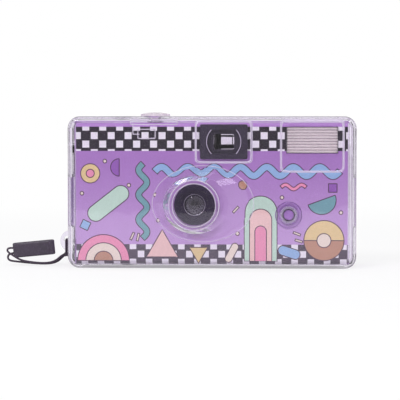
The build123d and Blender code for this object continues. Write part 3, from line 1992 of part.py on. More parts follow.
def make_strap_cord(name, route, y):
    """A tube along straight runs joined by arcs as large as the runs allow."""
    points = [(-case_half - outward, height) for outward, height in route]
    corners = [Vector(x, z) for x, z in points]
    radii = []
    for before, here, after in zip(corners, corners[1:], corners[2:]):
        turn = (here - before).get_angle(after - here)
        shorter = min((here - before).length, (after - here).length)
        radii.append(corner_share * shorter / tan(radians(turn) / 2))
    print(name, "corner radii", [round(radius, 1) for radius in radii])
    with BuildPart() as cord:
        with BuildLine(strap_plane(y)) as path:
            FilletPolyline(*points, radius=radii)
        course = path.wires()[0]
        with BuildSketch(Plane(course @ 0, z_dir=course % 0)) as section:
            Circle(cord_radius)
        sweep()
    plain_volume = section.sketch.area * course.length
    print(name, "length", round(course.length, 1), "volume share", round(cord.part.volume / plain_volume, 4))
    write(name, cord.part)


def make_strap():
    """The hitch: two turns through the lug's hole and a knot where both cords leave it."""
    turn_top_z = lug_z + lug_hole_dz
    turn_base_z = knot_z
    turn_half_y = lug_thickness / 2 + hitch_clearance + cord_radius
    with BuildPart() as strap_hitch:
        for side in (-1, 1):
            turn_x = knot_x + side * hitch_spacing / 2
            with BuildSketch(Plane.YZ.offset(turn_x - cord_radius)) as turn:
                with Locations((lug_mid_y, (turn_top_z + turn_base_z) / 2)):
                    RectangleRounded(
                        2 * (turn_half_y + cord_radius),
                        turn_top_z - turn_base_z + cord_diameter,
                        2 * cord_radius,
                    )
                    RectangleRounded(
                        2 * (turn_half_y - cord_radius),
                        turn_top_z - turn_base_z - cord_diameter,
                        cord_radius / 2,
                        mode=Mode.SUBTRACT,
                    )
            extrude(turn.sketch, amount=cord_diameter)
        panel_y(
            knot_x - hitch_spacing / 2,
            knot_z,
            knot_width,
            knot_height,
            knot_height / 3,
            lug_mid_y - knot_length / 2,
            lug_mid_y + knot_length / 2,
        )
    write("strap_hitch", strap_hitch.part)
    make_strap_cord("strap_cord_upper", upper_cord_route, upper_cord_y)
    make_strap_cord("strap_cord_lower", lower_cord_route, lower_cord_y)
    sleeve_plane = Plane(
        (sleeve_x, sleeve_y + sleeve_thickness / 2, sleeve_z), x_dir=sleeve_direction, z_dir=(0, -1, 0)
    )
    with BuildPart() as strap_sleeve:
        with BuildSketch(sleeve_plane) as face:
            RectangleRounded(sleeve_length, sleeve_height, sleeve_edge_radius)
        extrude(face.sketch, amount=sleeve_thickness)
    write("strap_sleeve", strap_sleeve.part)


sleeve_direction = (cos(radians(sleeve_tilt)), 0, sin(radians(sleeve_tilt)))

make_case_front()
make_case_back()
make_gasket()
make_latch("latch_left", -1)
make_latch("latch_right", 1)
make_latch_pins()
make_case_button()
make_button_trim()
make_flash_push()
make_advance_knob()
make_front_cover()
make_back_cover()
make_printed_wrap()
make_main_frame()
make_shutter()
make_shutter_button()
make_lens()
make_viewfinder()
make_flash()
make_electronics()
make_film_transport()
make_strap()
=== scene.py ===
# %% [markdown]
# A single-use film camera stands in a clear waterproof case, on a pale table.
# The solids of both come ready-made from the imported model, in metres, and stay where they are.
# This lesson gives each of them its finish and adds what plain solids can't show:
# the braided wrist strap, the inks of the printed wrap and the fine steps in the lens hood.

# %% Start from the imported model
from functools import partial

import bmesh
import bpy
import numpy as np
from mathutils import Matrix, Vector


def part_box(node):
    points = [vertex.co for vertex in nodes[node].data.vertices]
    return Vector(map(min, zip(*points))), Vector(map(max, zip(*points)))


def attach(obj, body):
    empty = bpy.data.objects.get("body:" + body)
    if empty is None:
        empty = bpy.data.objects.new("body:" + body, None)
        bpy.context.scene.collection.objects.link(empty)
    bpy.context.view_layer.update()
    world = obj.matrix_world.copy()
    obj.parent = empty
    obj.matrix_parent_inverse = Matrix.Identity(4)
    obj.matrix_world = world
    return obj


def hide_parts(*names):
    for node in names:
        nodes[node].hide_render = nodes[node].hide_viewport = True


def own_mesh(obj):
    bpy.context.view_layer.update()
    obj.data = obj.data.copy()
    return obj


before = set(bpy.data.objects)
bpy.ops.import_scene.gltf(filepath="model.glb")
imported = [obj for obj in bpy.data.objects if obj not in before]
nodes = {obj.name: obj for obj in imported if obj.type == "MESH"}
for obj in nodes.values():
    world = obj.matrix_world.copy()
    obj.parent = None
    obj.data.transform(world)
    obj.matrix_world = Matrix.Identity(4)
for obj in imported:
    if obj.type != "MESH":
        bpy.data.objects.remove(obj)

scene = bpy.context.scene
mm = 0.001


def add_object(name, data):
    """An object with this data, put in the scene."""
    made = bpy.data.objects.new(name, data)
    scene.collection.objects.link(made)
    return made


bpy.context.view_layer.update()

# %% [markdown]
# The picture was taken almost straight on, a little from the right and a little from above.
# A long lens from nearly a metre away keeps the case's edges parallel, so the camera is placed
# by two angles and a distance round the point that it looks at, and the lens follows from how
# wide a strip of the front plane has to fill the picture. Clear walls lie one behind another
# here, so the light may bend many times before it is given up.

# %% Place the camera
aim = np.array([-4.70, -18.0, 28.58]) * mm
azimuth, elevation = np.radians([3.0, 2.5])
distance, seen_width, sensor_width = 0.85, 0.1657, 36.0

away = np.array(
    [np.sin(azimuth) * np.cos(elevation), -np.cos(azimuth) * np.cos(elevation), np.sin(elevation)]
)
camera_data = bpy.data.cameras.new("picture_camera")
camera_data.sensor_width = sensor_width
camera_data.lens = sensor_width * distance / seen_width
camera_data.clip_start = 0.01
scene.camera = add_object("picture_camera", camera_data)
scene.camera.location = aim + distance * away
scene.camera.rotation_euler = Vector(-away).to_track_quat("-Z", "Y").to_euler()
scene.view_settings.view_transform = "Standard"
scene.cycles.max_bounces = 32
scene.cycles.transmission_bounces = 32
scene.cycles.glossy_bounces = 16
scene.cycles.transparent_max_bounces = 32
print("lens of the picture camera:", round(camera_data.lens, 1), "mm")

# %% [markdown]
# Every new shape here is a grid of points worked out at once with numpy. A few steps are
# then needed again and again: equal angles round a circle, the way a line runs, the quads
# between a grid's points, and turning points and faces into an object on its body.

# %% Tools for surfaces
def full_turn(count):
    """Equal angles once round; the last isn't the first again."""
    return np.linspace(0.0, 2 * np.pi, count, endpoint=False)


def unit(vectors):
    """The same vectors, each of length 1."""
    return vectors / np.linalg.norm(vectors, axis=-1, keepdims=True)


def directions(line, closed=False):
    """T(i) = P(i+1) - P(i-1) at length 1: the way a line runs at each of its points."""
    if closed:
        return unit(np.roll(line, -1, axis=0) - np.roll(line, 1, axis=0))
    return unit(np.gradient(line, axis=0))


def grid_faces(rows, columns, round_rows=False, round_columns=False):
    """Quads (i, j), (i+1, j), (i+1, j+1), (i, j+1); where round, the last line meets the first."""
    i, j = np.meshgrid(
        np.arange(rows if round_rows else rows - 1),
        np.arange(columns if round_columns else columns - 1),
        indexing="ij",
    )
    next_i, next_j = (i + 1) % rows, (j + 1) % columns
    quads = i * columns + j, next_i * columns + j, next_i * columns + next_j, i * columns + next_j
    return np.stack(quads, axis=-1).reshape(-1, 4)


def fan_faces(count, tip, start=0):
    """Triangles (i, i+1, tip) on a ring of points that begins at start."""
    i = np.arange(count)
    return np.column_stack([start + i, start + (i + 1) % count, np.full(count, tip)])


def merge(mesh, outward=False):
    """Joins points that share a place; the faces of closed shells can be turned outwards."""
    work = bmesh.new()
    work.from_mesh(mesh)
    bmesh.ops.remove_doubles(work, verts=work.verts, dist=1e-7)
    if outward:
        bmesh.ops.recalc_face_normals(work, faces=work.faces)
    work.to_mesh(mesh)
    work.free()


def add_piece(name, points, faces, material, body="camera", smooth=True, outward=True):
    """An object at the origin with these points and faces, riding on its body."""
    mesh = bpy.data.meshes.new(name)
    mesh.from_pydata(points.reshape(-1, 3), [], faces)
    if outward:
        merge(mesh, outward=True)
    mesh.polygons.foreach_set("use_smooth", np.full(len(mesh.polygons), smooth))
    mesh.materials.append(material)
    piece = add_object(name, mesh)
    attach(piece, body)
    print(name, "has", len(mesh.polygons), "faces")
    return piece


# %% [markdown]
# Materials are written as colours read from a screen, so each is first taken to the
# linear scale that the renderer works in. The same few steps of wiring nodes come up
# in every material, so they are helpers too.

# %% Tools for materials
def tone(red, green, blue):
    """Linear colour of a screen one: ((c + 0.055) / 1.055) ** 2.4, or c / 12.92 in the darks."""
    c = np.array([red, green, blue]) / 255.0
    linear = np.where(c <= 0.04045, c / 12.92, ((c + 0.055) / 1.055) ** 2.4)
    return (*(float(value) for value in linear), 1.0)


def darker(colour, share):
    """A linear colour times a share."""
    return (*(share * value for value in colour[:3]), 1.0)


def put(kind, inputs={}, tree=None, **settings):
    """One shader node, in the tree of its inputs. An input is a value or another node's output."""
    sources = {
        label: value for label, value in inputs.items() if isinstance(value, bpy.types.NodeSocket)
    }
    tree = tree or next(iter(sources.values())).id_data
    made = tree.nodes.new("ShaderNode" + kind)
    for label, value in settings.items():
        setattr(made, label, value)
    for label in inputs.keys() - sources.keys():
        made.inputs[label].default_value = inputs[label]
    wire(made.inputs, sources)
    return made


def wire(ends, sources):
    """Links outputs to the named ends of a node."""
    for label, source in sources.items():
        source.id_data.links.new(source, ends[label])


def sums(operation, *terms):
    """One step of arithmetic on numbers or outputs."""
    return put("Math", dict(enumerate(terms)), operation=operation).outputs[0]


plus, minus, times, times_plus, over, less, more, most, fraction = (
    partial(sums, operation)
    for operation in (
        "ADD", "SUBTRACT", "MULTIPLY", "MULTIPLY_ADD", "DIVIDE",
        "LESS_THAN", "GREATER_THAN", "MAXIMUM", "FRACT",
    )
)


def off(value, middle):
    """|value - middle|."""
    return sums("ABSOLUTE", minus(value, middle))


def ramp(value, low, high, start=0.0, stop=1.0):
    """A soft rise from start to stop while the value goes from low to high."""
    ends = {"Value": value, "From Min": low, "From Max": high, "To Min": start, "To Max": stop}
    return put("MapRange", ends, interpolation_type="SMOOTHSTEP").outputs[0]


def noise(place, scale, detail):
    """A noise between 0 and 1."""
    return put("TexNoise", {"Vector": place, "Scale": scale, "Detail": detail}).outputs[0]


def blended(share, first, second):
    """The first colour where share is 0, the second where it is 1."""
    return put("Mix", {0: share, 6: first, 7: second}, data_type="RGBA").outputs[2]


def by_share(share, first, second):
    """The same blend of two shaders."""
    return put("MixShader", {0: share, 1: first, 2: second}).outputs[0]


def coordinates(place):
    """X, Y and Z of a point."""
    return put("SeparateXYZ", {"Vector": place}).outputs


def from_axis(place, middle, across):
    """Offset from an axis, with across 0 along the axis and 1 beside it, and the distance."""
    offset = put("VectorMath", {0: place, 1: middle}, operation="SUBTRACT").outputs[0]
    flat = put("VectorMath", {0: offset, 1: across}, operation="MULTIPLY").outputs[0]
    return flat, put("VectorMath", {0: flat}, operation="LENGTH").outputs["Value"]


def new_group(name, inputs, outputs):
    """An empty node group and its two ends; the size of an input's value says what it is."""
    kinds = {1: "NodeSocketFloat", 3: "NodeSocketVector", 4: "NodeSocketColor"}
    group = bpy.data.node_groups.new(name, "ShaderNodeTree")
    for label, value in inputs.items():
        kind = kinds[np.size(value)]
        group.interface.new_socket(label, in_out="INPUT", socket_type=kind).default_value = value
    for label in outputs:
        kind = kinds[4 if label == "Color" else 1]
        group.interface.new_socket(label, in_out="OUTPUT", socket_type=kind)
    given, result = (group.nodes.new("NodeGroup" + end) for end in ("Input", "Output"))
    return group, given.outputs, result.inputs


def use_group(group, inputs):
    """A placed copy of a group, with its own values."""
    return put("Group", inputs, node_tree=group).outputs


def new_material(name, **constants):
    """A material with one Principled shader; constants name its sockets with _ for a space."""
    material = bpy.data.materials.new(name)
    material.use_nodes = True
    tree = material.node_tree
    tree.nodes.clear()
    shader = put("BsdfPrincipled", tree=tree)
    for label, value in constants.items():
        shader.inputs[label.replace("_", " ")].default_value = value
    output = put("OutputMaterial", {"Surface": shader.outputs[0]})
    place = put("TexCoord", tree=tree).outputs["Object"]
    return material, shader.inputs, output.inputs, place


def raised(strength, depth, height):
    """The normal of a skin with this height; depth is in metres."""
    return put("Bump", {"Strength": strength, "Distance": depth, "Height": height}).outputs[0]


def dress(shader, colour, finish, strength=0.0, depth=0.0):
    """Gives the shader a colour, a group's roughness, and its height as a skin if it has depth."""
    wire(shader, {"Base Color": colour, "Roughness": finish["Roughness"]})
    if depth:
        wire(shader, {"Normal": raised(strength, depth, finish["Height"])})


def finish_nodes(material, solids):
    """Each of these solids gets the material, on its own material slots."""
    for name in solids.split():
        for held in nodes[name].material_slots:
            held.material = material
    print(material.name, "is on", solids)


def finish(make, name, solids, *values, **constants):
    """A material of one kind, made with these values and put on these solids."""
    material = make(name, *values, **constants)
    finish_nodes(material, solids)
    return material


# %% [markdown]
# Moulded plastic is never one flat colour. The tool leaves a fine, even grain, and the
# resin flows a little lighter and darker. One group gives both: a fine noise for the height
# of the grain, and a slow one that blends two near tones and stirs the roughness.

# %% Grain of moulded plastic
nowhere, full_white = (0.0, 0.0, 0.0), (1.0, 1.0, 1.0, 1.0)
moulded_grain, given, result = new_group(
    "moulded_grain",
    {
        "Place": nowhere, "Tone": (0.5, 0.5, 0.5, 1.0), "Shade": (0.4, 0.4, 0.4, 1.0),
        "Grain Scale": 4000.0, "Flow Scale": 120.0, "Roughness": 0.4, "Stir": 0.15,
    },
    ["Color", "Roughness", "Height"],
)
fine = noise(given["Place"], given["Grain Scale"], 2.0)
slow = noise(given["Place"], given["Flow Scale"], 4.0)
stirred = times(minus(slow, 0.5), given["Stir"])
wire(result, {
    "Color": blended(slow, given["Tone"], given["Shade"]),
    "Roughness": plus(given["Roughness"], stirred),
    "Height": fine,
})


def grained(place, light, dark, roughness, grain_scale=4000.0, flow_scale=120.0, stir=0.15):
    """A placed copy of the moulded grain."""
    return use_group(moulded_grain, {
        "Place": place, "Tone": light, "Shade": dark, "Roughness": roughness,
        "Grain Scale": grain_scale, "Flow Scale": flow_scale, "Stir": stir,
    })


# %% [markdown]
# Handling leaves hairline scratches. They are thin slices of a noise that is stretched a
# long way in one direction: only where its value is close to a half does a line show.
# Two layers that lean different ways keep them from looking combed.

# %% Hairline scratches
hairlines, given, result = new_group(
    "hairlines", {"Place": nowhere, "Scale": 60.0, "Width": 0.012}, ["Mask"]
)
layers = []
for lean, stretch in ((0.5, (1.0, 1.0, 9.0)), (-0.9, (8.0, 1.0, 1.0))):
    turn = {"Vector": given["Place"], "Rotation": (0.3 * lean, lean, 0.2), "Scale": stretch}
    streak = noise(put("Mapping", turn).outputs[0], given["Scale"], 1.0)
    layers.append(less(off(streak, 0.5), given["Width"]))
wire(result, {"Mask": most(*layers)})


def scratches(place, scale, width):
    """1 on the hairlines and 0 beside them."""
    return use_group(hairlines, {"Place": place, "Scale": scale, "Width": width})["Mask"]


# %% [markdown]
# The print on the wrap is ink on coated card. Seen close, the ink is broken by a fine
# dot pattern and the card's fibres lift the gloss film here and there. The group takes
# an ink and gives it back with that grain, so every printed colour has the same paper.

# %% Ink on card
ink_on_card, given, result = new_group(
    "ink_on_card",
    {"Place": nowhere, "Ink": (0.5, 0.3, 0.6, 1.0), "Break": 0.16},
    ["Color", "Roughness", "Height"],
)
dots = put("TexVoronoi", {"Vector": given["Place"], "Scale": 2600.0})
fibre = noise(given["Place"], 900.0, 5.0)
cloud = noise(given["Place"], 55.0, 2.0)
broken = minus(dots.outputs["Distance"], 0.35)
lift = times(broken, given["Break"])
drift = times_plus(minus(cloud, 0.5), 0.10, lift)
level = plus(1.0, drift)
scaled = put("VectorMath", {0: given["Ink"], "Scale": level}, operation="SCALE")
wire(result, {
    "Color": scaled.outputs[0],
    "Roughness": times_plus(fibre, 0.18, 0.30),
    "Height": fibre,
})
coated = {"Coat_Weight": 0.35, "Coat_Roughness": 0.12}


def print_on_card(shader, place, ink, dot_break):
    """The shader becomes card printed with this ink."""
    card = use_group(ink_on_card, {"Place": place, "Ink": ink, "Break": dot_break})
    dress(shader, card["Color"], card, 0.25, 0.00003)


# %% [markdown]
# A chequered border runs along the top and the foot of the wrap: white squares, each set a
# little inside its own cell, on a dark ground. Counting cells from one known white square
# and keeping every second one gives the chequer, and the distance from the middle of
# the cell gives the square.

# %% Chequer rows
chequer, given, result = new_group(
    "chequer",
    {
        "Across": 0.0, "Up": 0.0, "Middle Across": 0.0, "Middle Up": 0.0,
        "Cell": 0.0035, "Half Square": 0.41,
    },
    ["Mask"],
)
counts, insides = [], []
for label in ("Across", "Up"):
    shifted = minus(given[label], given["Middle " + label])
    steps = plus(over(shifted, given["Cell"]), 0.5)
    counts.append(sums("FLOOR", steps))
    from_middle = off(fraction(steps), 0.5)
    insides.append(less(from_middle, given["Half Square"]))
odd = sums("FLOORED_MODULO", plus(*counts), 2.0)
even = less(odd, 0.5)
wire(result, {"Mask": times(even, times(*insides))})

# %% [markdown]
# The strap is a thin braided cord. It comes first, because its route decides how much
# room the picture needs. Its line is a smooth spline through the air and over the table;
# the route's points are its control points. A braid is laid on that line as a tube
# whose radius rises and falls where two sets of strands cross.

# %% Cord material
cord_black, shader, output, place = new_material(
    "cord_black", Sheen_Weight=0.4, Sheen_Roughness=0.4
)
grain = grained(place, tone(62, 46, 66), tone(34, 25, 38), 0.75, 9000.0, 900.0, 0.2)
lengthwise = put("TexCoord", tree=place.id_data).outputs["UV"]
weave = {"Vector": lengthwise, "Scale": 3.0, "Distortion": 0.4}
twill = put("TexWave", weave, bands_direction="DIAGONAL").outputs[1]
strands = blended(times(twill, 0.45), grain["Color"], tone(84, 66, 88))
dress(shader, strands, grain, 0.5, 0.00004)

# %% [markdown]
# The spline gives the line; equal steps along it keep the strands even. At each step a
# ring of points stands square to the line, and its radius swells with the strands.

# %% Cord line and braided tube
def route_line(name, route):
    """Points of a NURBS of order 3 that has the route as its control points."""
    curve = bpy.data.curves.new(name, "CURVE")
    curve.dimensions = "3D"
    curve.resolution_u = 24
    spline = curve.splines.new("NURBS")
    spline.points.add(len(route) - 1)
    spline.points.foreach_set("co", np.column_stack([route, np.ones(len(route))]).ravel())
    spline.order_u = 3
    spline.use_endpoint_u = True
    guide = add_object(name, curve)
    bpy.context.view_layer.update()
    drawn = bpy.data.meshes.new_from_object(guide)
    line = np.empty(len(drawn.vertices) * 3)
    drawn.vertices.foreach_get("co", line)
    bpy.data.objects.remove(guide)
    bpy.data.meshes.remove(drawn)
    return line.reshape(-1, 3)


def along(line, count, closed=False):
    """Points at equal steps of length on a line, each found between its two neighbours."""
    path = np.vstack([line, line[:1]]) if closed else line
    run = np.concatenate([[0.0], np.cumsum(np.linalg.norm(np.diff(path, axis=0), axis=1))])
    steps = np.linspace(0.0, run[-1], count, endpoint=not closed)
    return np.column_stack([np.interp(steps, run, column) for column in path.T]), steps


def braided_tube(line, steps, radius, lay, facing, closed=False, sides=20):
    """S(u, v) = C(u) + r (cos v N + sin v B), with r = R (1 - 0.1 sin(2v + w) sin(2v - w)).

    w = 2 pi u / lay; N is facing without its part along the line, and B is square to both.
    """
    tangent = directions(line, closed)
    facing = np.broadcast_to(facing, line.shape)
    normal = unit(facing - (facing * tangent).sum(axis=1, keepdims=True) * tangent)
    side = np.cross(tangent, normal)
    turn = full_turn(sides)[None, :, None]
    phase = (2 * np.pi * steps / lay)[:, None, None]
    swell = radius * (1 - 0.1 * np.sin(2 * turn + phase) * np.sin(2 * turn - phase))
    return line[:, None] + swell * (np.cos(turn) * normal[:, None] + np.sin(turn) * side[:, None])


def tube_uv(piece, rows, sides, steps, lay):
    """UV of a tube with open ends: u is the length in lays, v goes four times round."""
    layer = piece.data.uv_layers.new(name="UVMap")
    corner_points = np.empty(len(piece.data.loops), dtype=np.int32)
    piece.data.loops.foreach_get("vertex_index", corner_points)
    u = (steps / lay)[np.minimum(corner_points // sides, rows - 1)]
    v = (corner_points % sides) / sides * 4.0
    layer.data.foreach_set("uv", np.column_stack([u, v]).ravel())


# %% [markdown]
# A tube with open ends shows its hollow, so each end is closed with a fan of triangles
# round a point a little way out, which gives the cord a soft, sealed tip.

# %% Close a tube's ends
def closed_ends(rings, bulge):
    """The tube's points with one more at each end, pushed out by bulge, and all its faces."""
    rows, sides = rings.shape[:2]
    middles = rings.mean(axis=1)
    tips = middles[[0, -1]] + bulge * unit(middles[[0, -1]] - middles[[1, -2]])
    tip = rows * sides
    near_cap = fan_faces(sides, tip)[:, [1, 0, 2]]
    far_cap = fan_faces(sides, tip + 1, start=tip - sides)
    walls = grid_faces(rows, sides, round_columns=True)[:, ::-1]
    faces = walls.tolist() + near_cap.tolist() + far_cap.tolist()
    return np.vstack([rings.reshape(-1, 3), tips]), faces


# %% [markdown]
# Both cords leave the knot at the lug and run over the table into the sleeve. Each route
# is a depth and a row of places across and up, in millimetres.

# %% The two cords
cord_radius = 0.4 * mm
cord_lay = 0.9 * mm
cord_rows, cord_sides = 260, 20
cord_routes = {
    "strap_braid_upper": (-2.25, [
        (-62.8, 4.95), (-64.5, 4.05), (-66.5, 2.2), (-69.2, 1.15), (-73.0, 0.95), (-78.0, 1.45),
        (-81.8, 2.2), (-84.6, 3.9), (-86.5, 5.1), (-87.6, 6.2), (-86.9, 7.5), (-84.3, 7.3),
    ]),
    "strap_braid_lower": (-1.35, [
        (-62.8, 4.55), (-64.2, 3.35), (-66.0, 1.65), (-68.8, 0.78), (-72.9, 0.62), (-78.2, 1.0),
        (-83.3, 1.5), (-86.7, 1.9), (-87.5, 3.3), (-86.7, 4.9), (-84.2, 5.2),
    ]),
}
cord_pieces, cord_lines = {}, {}
for name, (depth, route) in cord_routes.items():
    control = np.array([(x, depth, z) for x, z in route]) * mm
    line, steps = along(route_line(name, control), cord_rows)
    rings = braided_tube(line, steps, cord_radius, cord_lay, (0.0, 1.0, 0.0), sides=cord_sides)
    points, faces = closed_ends(rings, 0.3 * cord_radius)
    cord_pieces[name] = add_piece(name, points, faces, cord_black, outward=False)
    tube_uv(cord_pieces[name], cord_rows, cord_sides, steps, cord_lay)
    cord_lines[name] = line
    print(name, "is", round(steps[-1] * 1000, 1), "mm long")
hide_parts("strap_cord_upper")
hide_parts("strap_cord_lower")

# %% [markdown]
# At the lug the same cord goes twice through the hole and ends in a knot. Each turn is
# a flattened ring round the lug's foot: a circle with its corners pushed out, which is a
# superellipse. The knot is the simplest one there is, three loops through each other,
# squeezed into the small lump that a pulled knot really is.

# %% Hitch and knot
def squared(value, power):
    """A sine or cosine with its shoulders pushed out: its sign times its size to the power."""
    return np.sign(value) * np.abs(value) ** power


def braided_ring(loop, count, radius, sides, facing=None, middle=None):
    """A braided tube on a closed line in mm, facing one way or away from a middle.

    The lay is stretched a little, to come out whole.
    """
    line, steps = along(loop * mm, count, closed=True)
    length = steps[-1] + np.linalg.norm(line[0] - line[-1])
    lay = length / round(length / cord_lay)
    if facing is None:
        facing = line - middle * mm
    return braided_tube(line, steps, radius, lay, facing, closed=True, sides=sides)


around = full_turn(240)
lug_middle_y, turn_half_y = -1.8, 2.15
turn_low_z, turn_high_z = 4.75, 11.1
turn_middle_z, turn_half_z = (turn_low_z + turn_high_z) / 2, (turn_high_z - turn_low_z) / 2
turn_rows, turn_sides = 150, 16
turn_power = 0.35
turn_y = lug_middle_y + turn_half_y * squared(np.cos(around), turn_power)
turn_z = turn_middle_z + turn_half_z * squared(np.sin(around), turn_power)
turn_rings = [
    braided_ring(
        np.column_stack([np.full_like(around, turn_x), turn_y, turn_z]),
        turn_rows, cord_radius, turn_sides, facing=(1.0, 0.0, 0.0),
    )
    for turn_x in (-62.15, -61.25)
]
turn_faces = grid_faces(turn_rows, turn_sides, True, True)
strap_turns = add_piece(
    "strap_turns",
    np.stack(turn_rings),
    np.vstack([turn_faces, turn_faces + turn_rows * turn_sides]),
    cord_black,
)

knot_middle = np.array([-62.1, lug_middle_y, turn_low_z])
knot_wide, knot_deep, knot_tall = 0.26, 0.44, -0.46
knot_rows, knot_radius = 240, 0.48 * mm
knot = knot_middle + np.column_stack([
    knot_wide * (np.cos(around) - 2 * np.cos(2 * around)),
    knot_deep * (np.sin(around) + 2 * np.sin(2 * around)),
    knot_tall * np.sin(3 * around),
])
rings = braided_ring(knot, knot_rows, knot_radius, cord_sides, middle=knot_middle)
knot_faces = grid_faces(knot_rows, cord_sides, True, True)
strap_knot = add_piece("strap_knot", rings, knot_faces, cord_black)
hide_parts("strap_hitch")

# %% [markdown]
# The sleeve on the strap is a flat tube of soft plastic, pressed shut along its rim.
# A superellipsoid has the right body: a box whose sides swell slightly and whose corners
# are round. A shallow channel follows the rim on both faces, where the two skins are welded.

# %% Sleeve
sleeve_black, shader, output, place = new_material(
    "sleeve_black", Coat_Weight=0.15, Coat_Roughness=0.3
)
grain = grained(place, tone(62, 49, 68), tone(46, 38, 54), 0.42, 2600.0, 160.0, 0.2)
marks = times(scratches(place, 240.0, 0.010), 0.25)
dress(shader, blended(marks, grain["Color"], tone(120, 108, 128)), grain, 0.35, 0.00006)


corner_power, edge_power, swell_power = 0.12, 0.45, 0.55
channel_place, channel_width, channel_depth, channel_squeeze = 0.80, 0.035, 0.16, 0.86


def sleeve_surface(half, lanes, rings):
    """(a c(t) c(p), h s(p), b s(t) c(p)), c and s squared off, with a channel along the rim."""
    t = full_turn(lanes)[None, :]
    p = np.linspace(-np.pi / 2, np.pi / 2, rings)[:, None]
    x = half[0] * squared(np.cos(t), corner_power) * squared(np.cos(p), edge_power)
    z = half[1] * squared(np.sin(t), corner_power) * squared(np.cos(p), edge_power)
    reach = np.maximum(np.abs(x) / half[0], np.abs(z) / half[1] * channel_squeeze)
    channel = 1 - channel_depth * np.exp(-(((reach - channel_place) / channel_width) ** 2))
    return x, half[2] * squared(np.sin(p), swell_power) * channel, z


sleeve_middle = np.array([-76.1, -1.8, 7.1]) * mm
sleeve_half = np.array([8.9, 3.2, 1.2]) * mm
sleeve_lanes, sleeve_rings = 160, 60
lean = np.radians(5.5)
x, y, z = sleeve_surface(sleeve_half, sleeve_lanes, sleeve_rings)
leaning = [x * np.cos(lean) - z * np.sin(lean), y, x * np.sin(lean) + z * np.cos(lean)]
strap_tag = add_piece(
    "strap_tag",
    np.stack(leaning, axis=-1) + sleeve_middle,
    grid_faces(sleeve_rings, sleeve_lanes, round_columns=True),
    sleeve_black,
)
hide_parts("strap_sleeve")

# %% [markdown]

# %% [markdown]
# The camera itself wears a wrap of printed card. Its ground is a lilac that lightens
# towards the foot, with the two chequered borders. Their dark ground is painted lighter
# towards the foot, which is a painted reflection of the table. The whole print depends on height
# and width alone, so it reads straight off the object's coordinates and runs on round the back.

# %% Wrap material
wrap_print, shader, output, place = new_material("wrap_print", **coated)
axes = coordinates(place)
rise = ramp(axes["Z"], 0.008, 0.050)
ground = blended(rise, tone(198, 161, 214), tone(172, 125, 194))
# Painted reflection: the dark ground of the borders gets lighter towards the foot, where the clear
# front mirrors the table.
dark = blended(rise, tone(74, 60, 78), tone(26, 14, 30))
white = tone(244, 242, 244)


def between(value, low, high):
    """1 between two places in mm and 0 elsewhere."""
    above = more(value, low * mm)
    below = less(value, high * mm)
    return times(above, below)


def border(under, low, high, middle_across, middle_up, cell):
    """A colour with a border over it between two heights: white squares on dark."""
    squares = use_group(chequer, {
        "Across": axes["X"], "Up": axes["Z"], "Cell": cell * mm,
        "Middle Across": middle_across * mm, "Middle Up": middle_up * mm,
    })
    bordered = blended(squares["Mask"], dark, white)
    return blended(between(axes["Z"], low, high), under, bordered)


topped = border(ground, 48.85, 58.9, 21.8, 55.2, 3.53)
print_on_card(shader, place, border(topped, 1.0, 10.05, 24.4, 6.0, 3.36), 0.14)
finish_nodes(wrap_print, "printed_wrap")

# %% [markdown]
# On that ground lies a loose pattern of plain shapes in flat inks: arches, half discs,
# waves and bars, each with a dark line round it. They could be drawn inside the
# material, but shapes are easier to read and to move as thin printed films, a few hundredths
# of a millimetre proud of the card. One object holds all the shapes of one ink.

# %% Shapes in the plane
front_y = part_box("printed_wrap")[0].y
back_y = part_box("printed_wrap")[1].y
film_step = 0.02 * mm
ink_line = 0.36
ink_films = {}


def film(ink, flat, faces, layer, side):
    """Flat (across, up) points as a film of ink on the front, -1, or mirrored on the back, +1."""
    flat = flat * mm
    level = front_y - layer * film_step if side < 0 else back_y + layer * film_step
    points = np.column_stack([-side * flat[:, 0], np.full(len(flat), level), flat[:, 1]])
    edges = points[faces[:, 1]] - points[faces[:, 0]], points[faces[:, 2]] - points[faces[:, 0]]
    if np.cross(*edges)[:, 1].sum() * side < 0:
        faces = faces[:, ::-1]
    ink_films.setdefault(ink, []).append((points, faces))


def strip(line, width, closed=False):
    """P(s, t) = C(t) + s w N(t), s from -1/2 to 1/2: a line with a width, N square to it."""
    tangent = directions(line, closed)
    normal = np.column_stack([-tangent[:, 1], tangent[:, 0]])
    points = line[:, None] + np.array([-0.5, 0.5])[None, :, None] * width * normal[:, None]
    return points.reshape(-1, 2), grid_faces(len(line), 2, round_rows=closed)


def longer(line, extra):
    """A line drawn on by extra at both ends."""
    ends = line[[0, -1]] + extra * unit(line[[0, -1]] - line[[1, -2]])
    return np.vstack([ends[:1], line, ends[1:]])


def filled(ink, edge, layer=2, side=-1):
    """A closed edge filled by a fan from its middle, with the dark line along it."""
    fan = fan_faces(len(edge), tip=len(edge))
    film(ink, np.vstack([edge, edge.mean(axis=0)]), fan, layer, side)
    film("outline", *strip(edge, ink_line, closed=True), layer + 1, side)


def stroked(ink, line, width, layer=2, side=-1):
    """A wide line of ink over a wider and longer dark one."""
    film("outline", *strip(longer(line, ink_line), width + 2 * ink_line), layer - 1, side)
    film(ink, *strip(line, width), layer, side)


# %% [markdown]
# Each shape is only an edge or a line, given by a short formula. Places and sizes are in
# millimetres on the face, across and up.

# %% Edges and lines for the shapes
def disc(x, z, radius, start=0.0, stop=360.0, tall=1.0):
    """(x + r cos a, z + h r sin a) between two angles; half a turn gives a half disc."""
    a = np.radians(np.linspace(start, stop, 64, endpoint=abs(stop - start) < 360))
    return np.column_stack([x + radius * np.cos(a), z + tall * radius * np.sin(a)])


def arch(x, foot, width, height):
    """A door shape: straight sides and a half circle on top."""
    top = disc(x, foot + height - width / 2, width / 2, 0, 180)
    return np.vstack([[x + width / 2, foot], top, [x - width / 2, foot]])


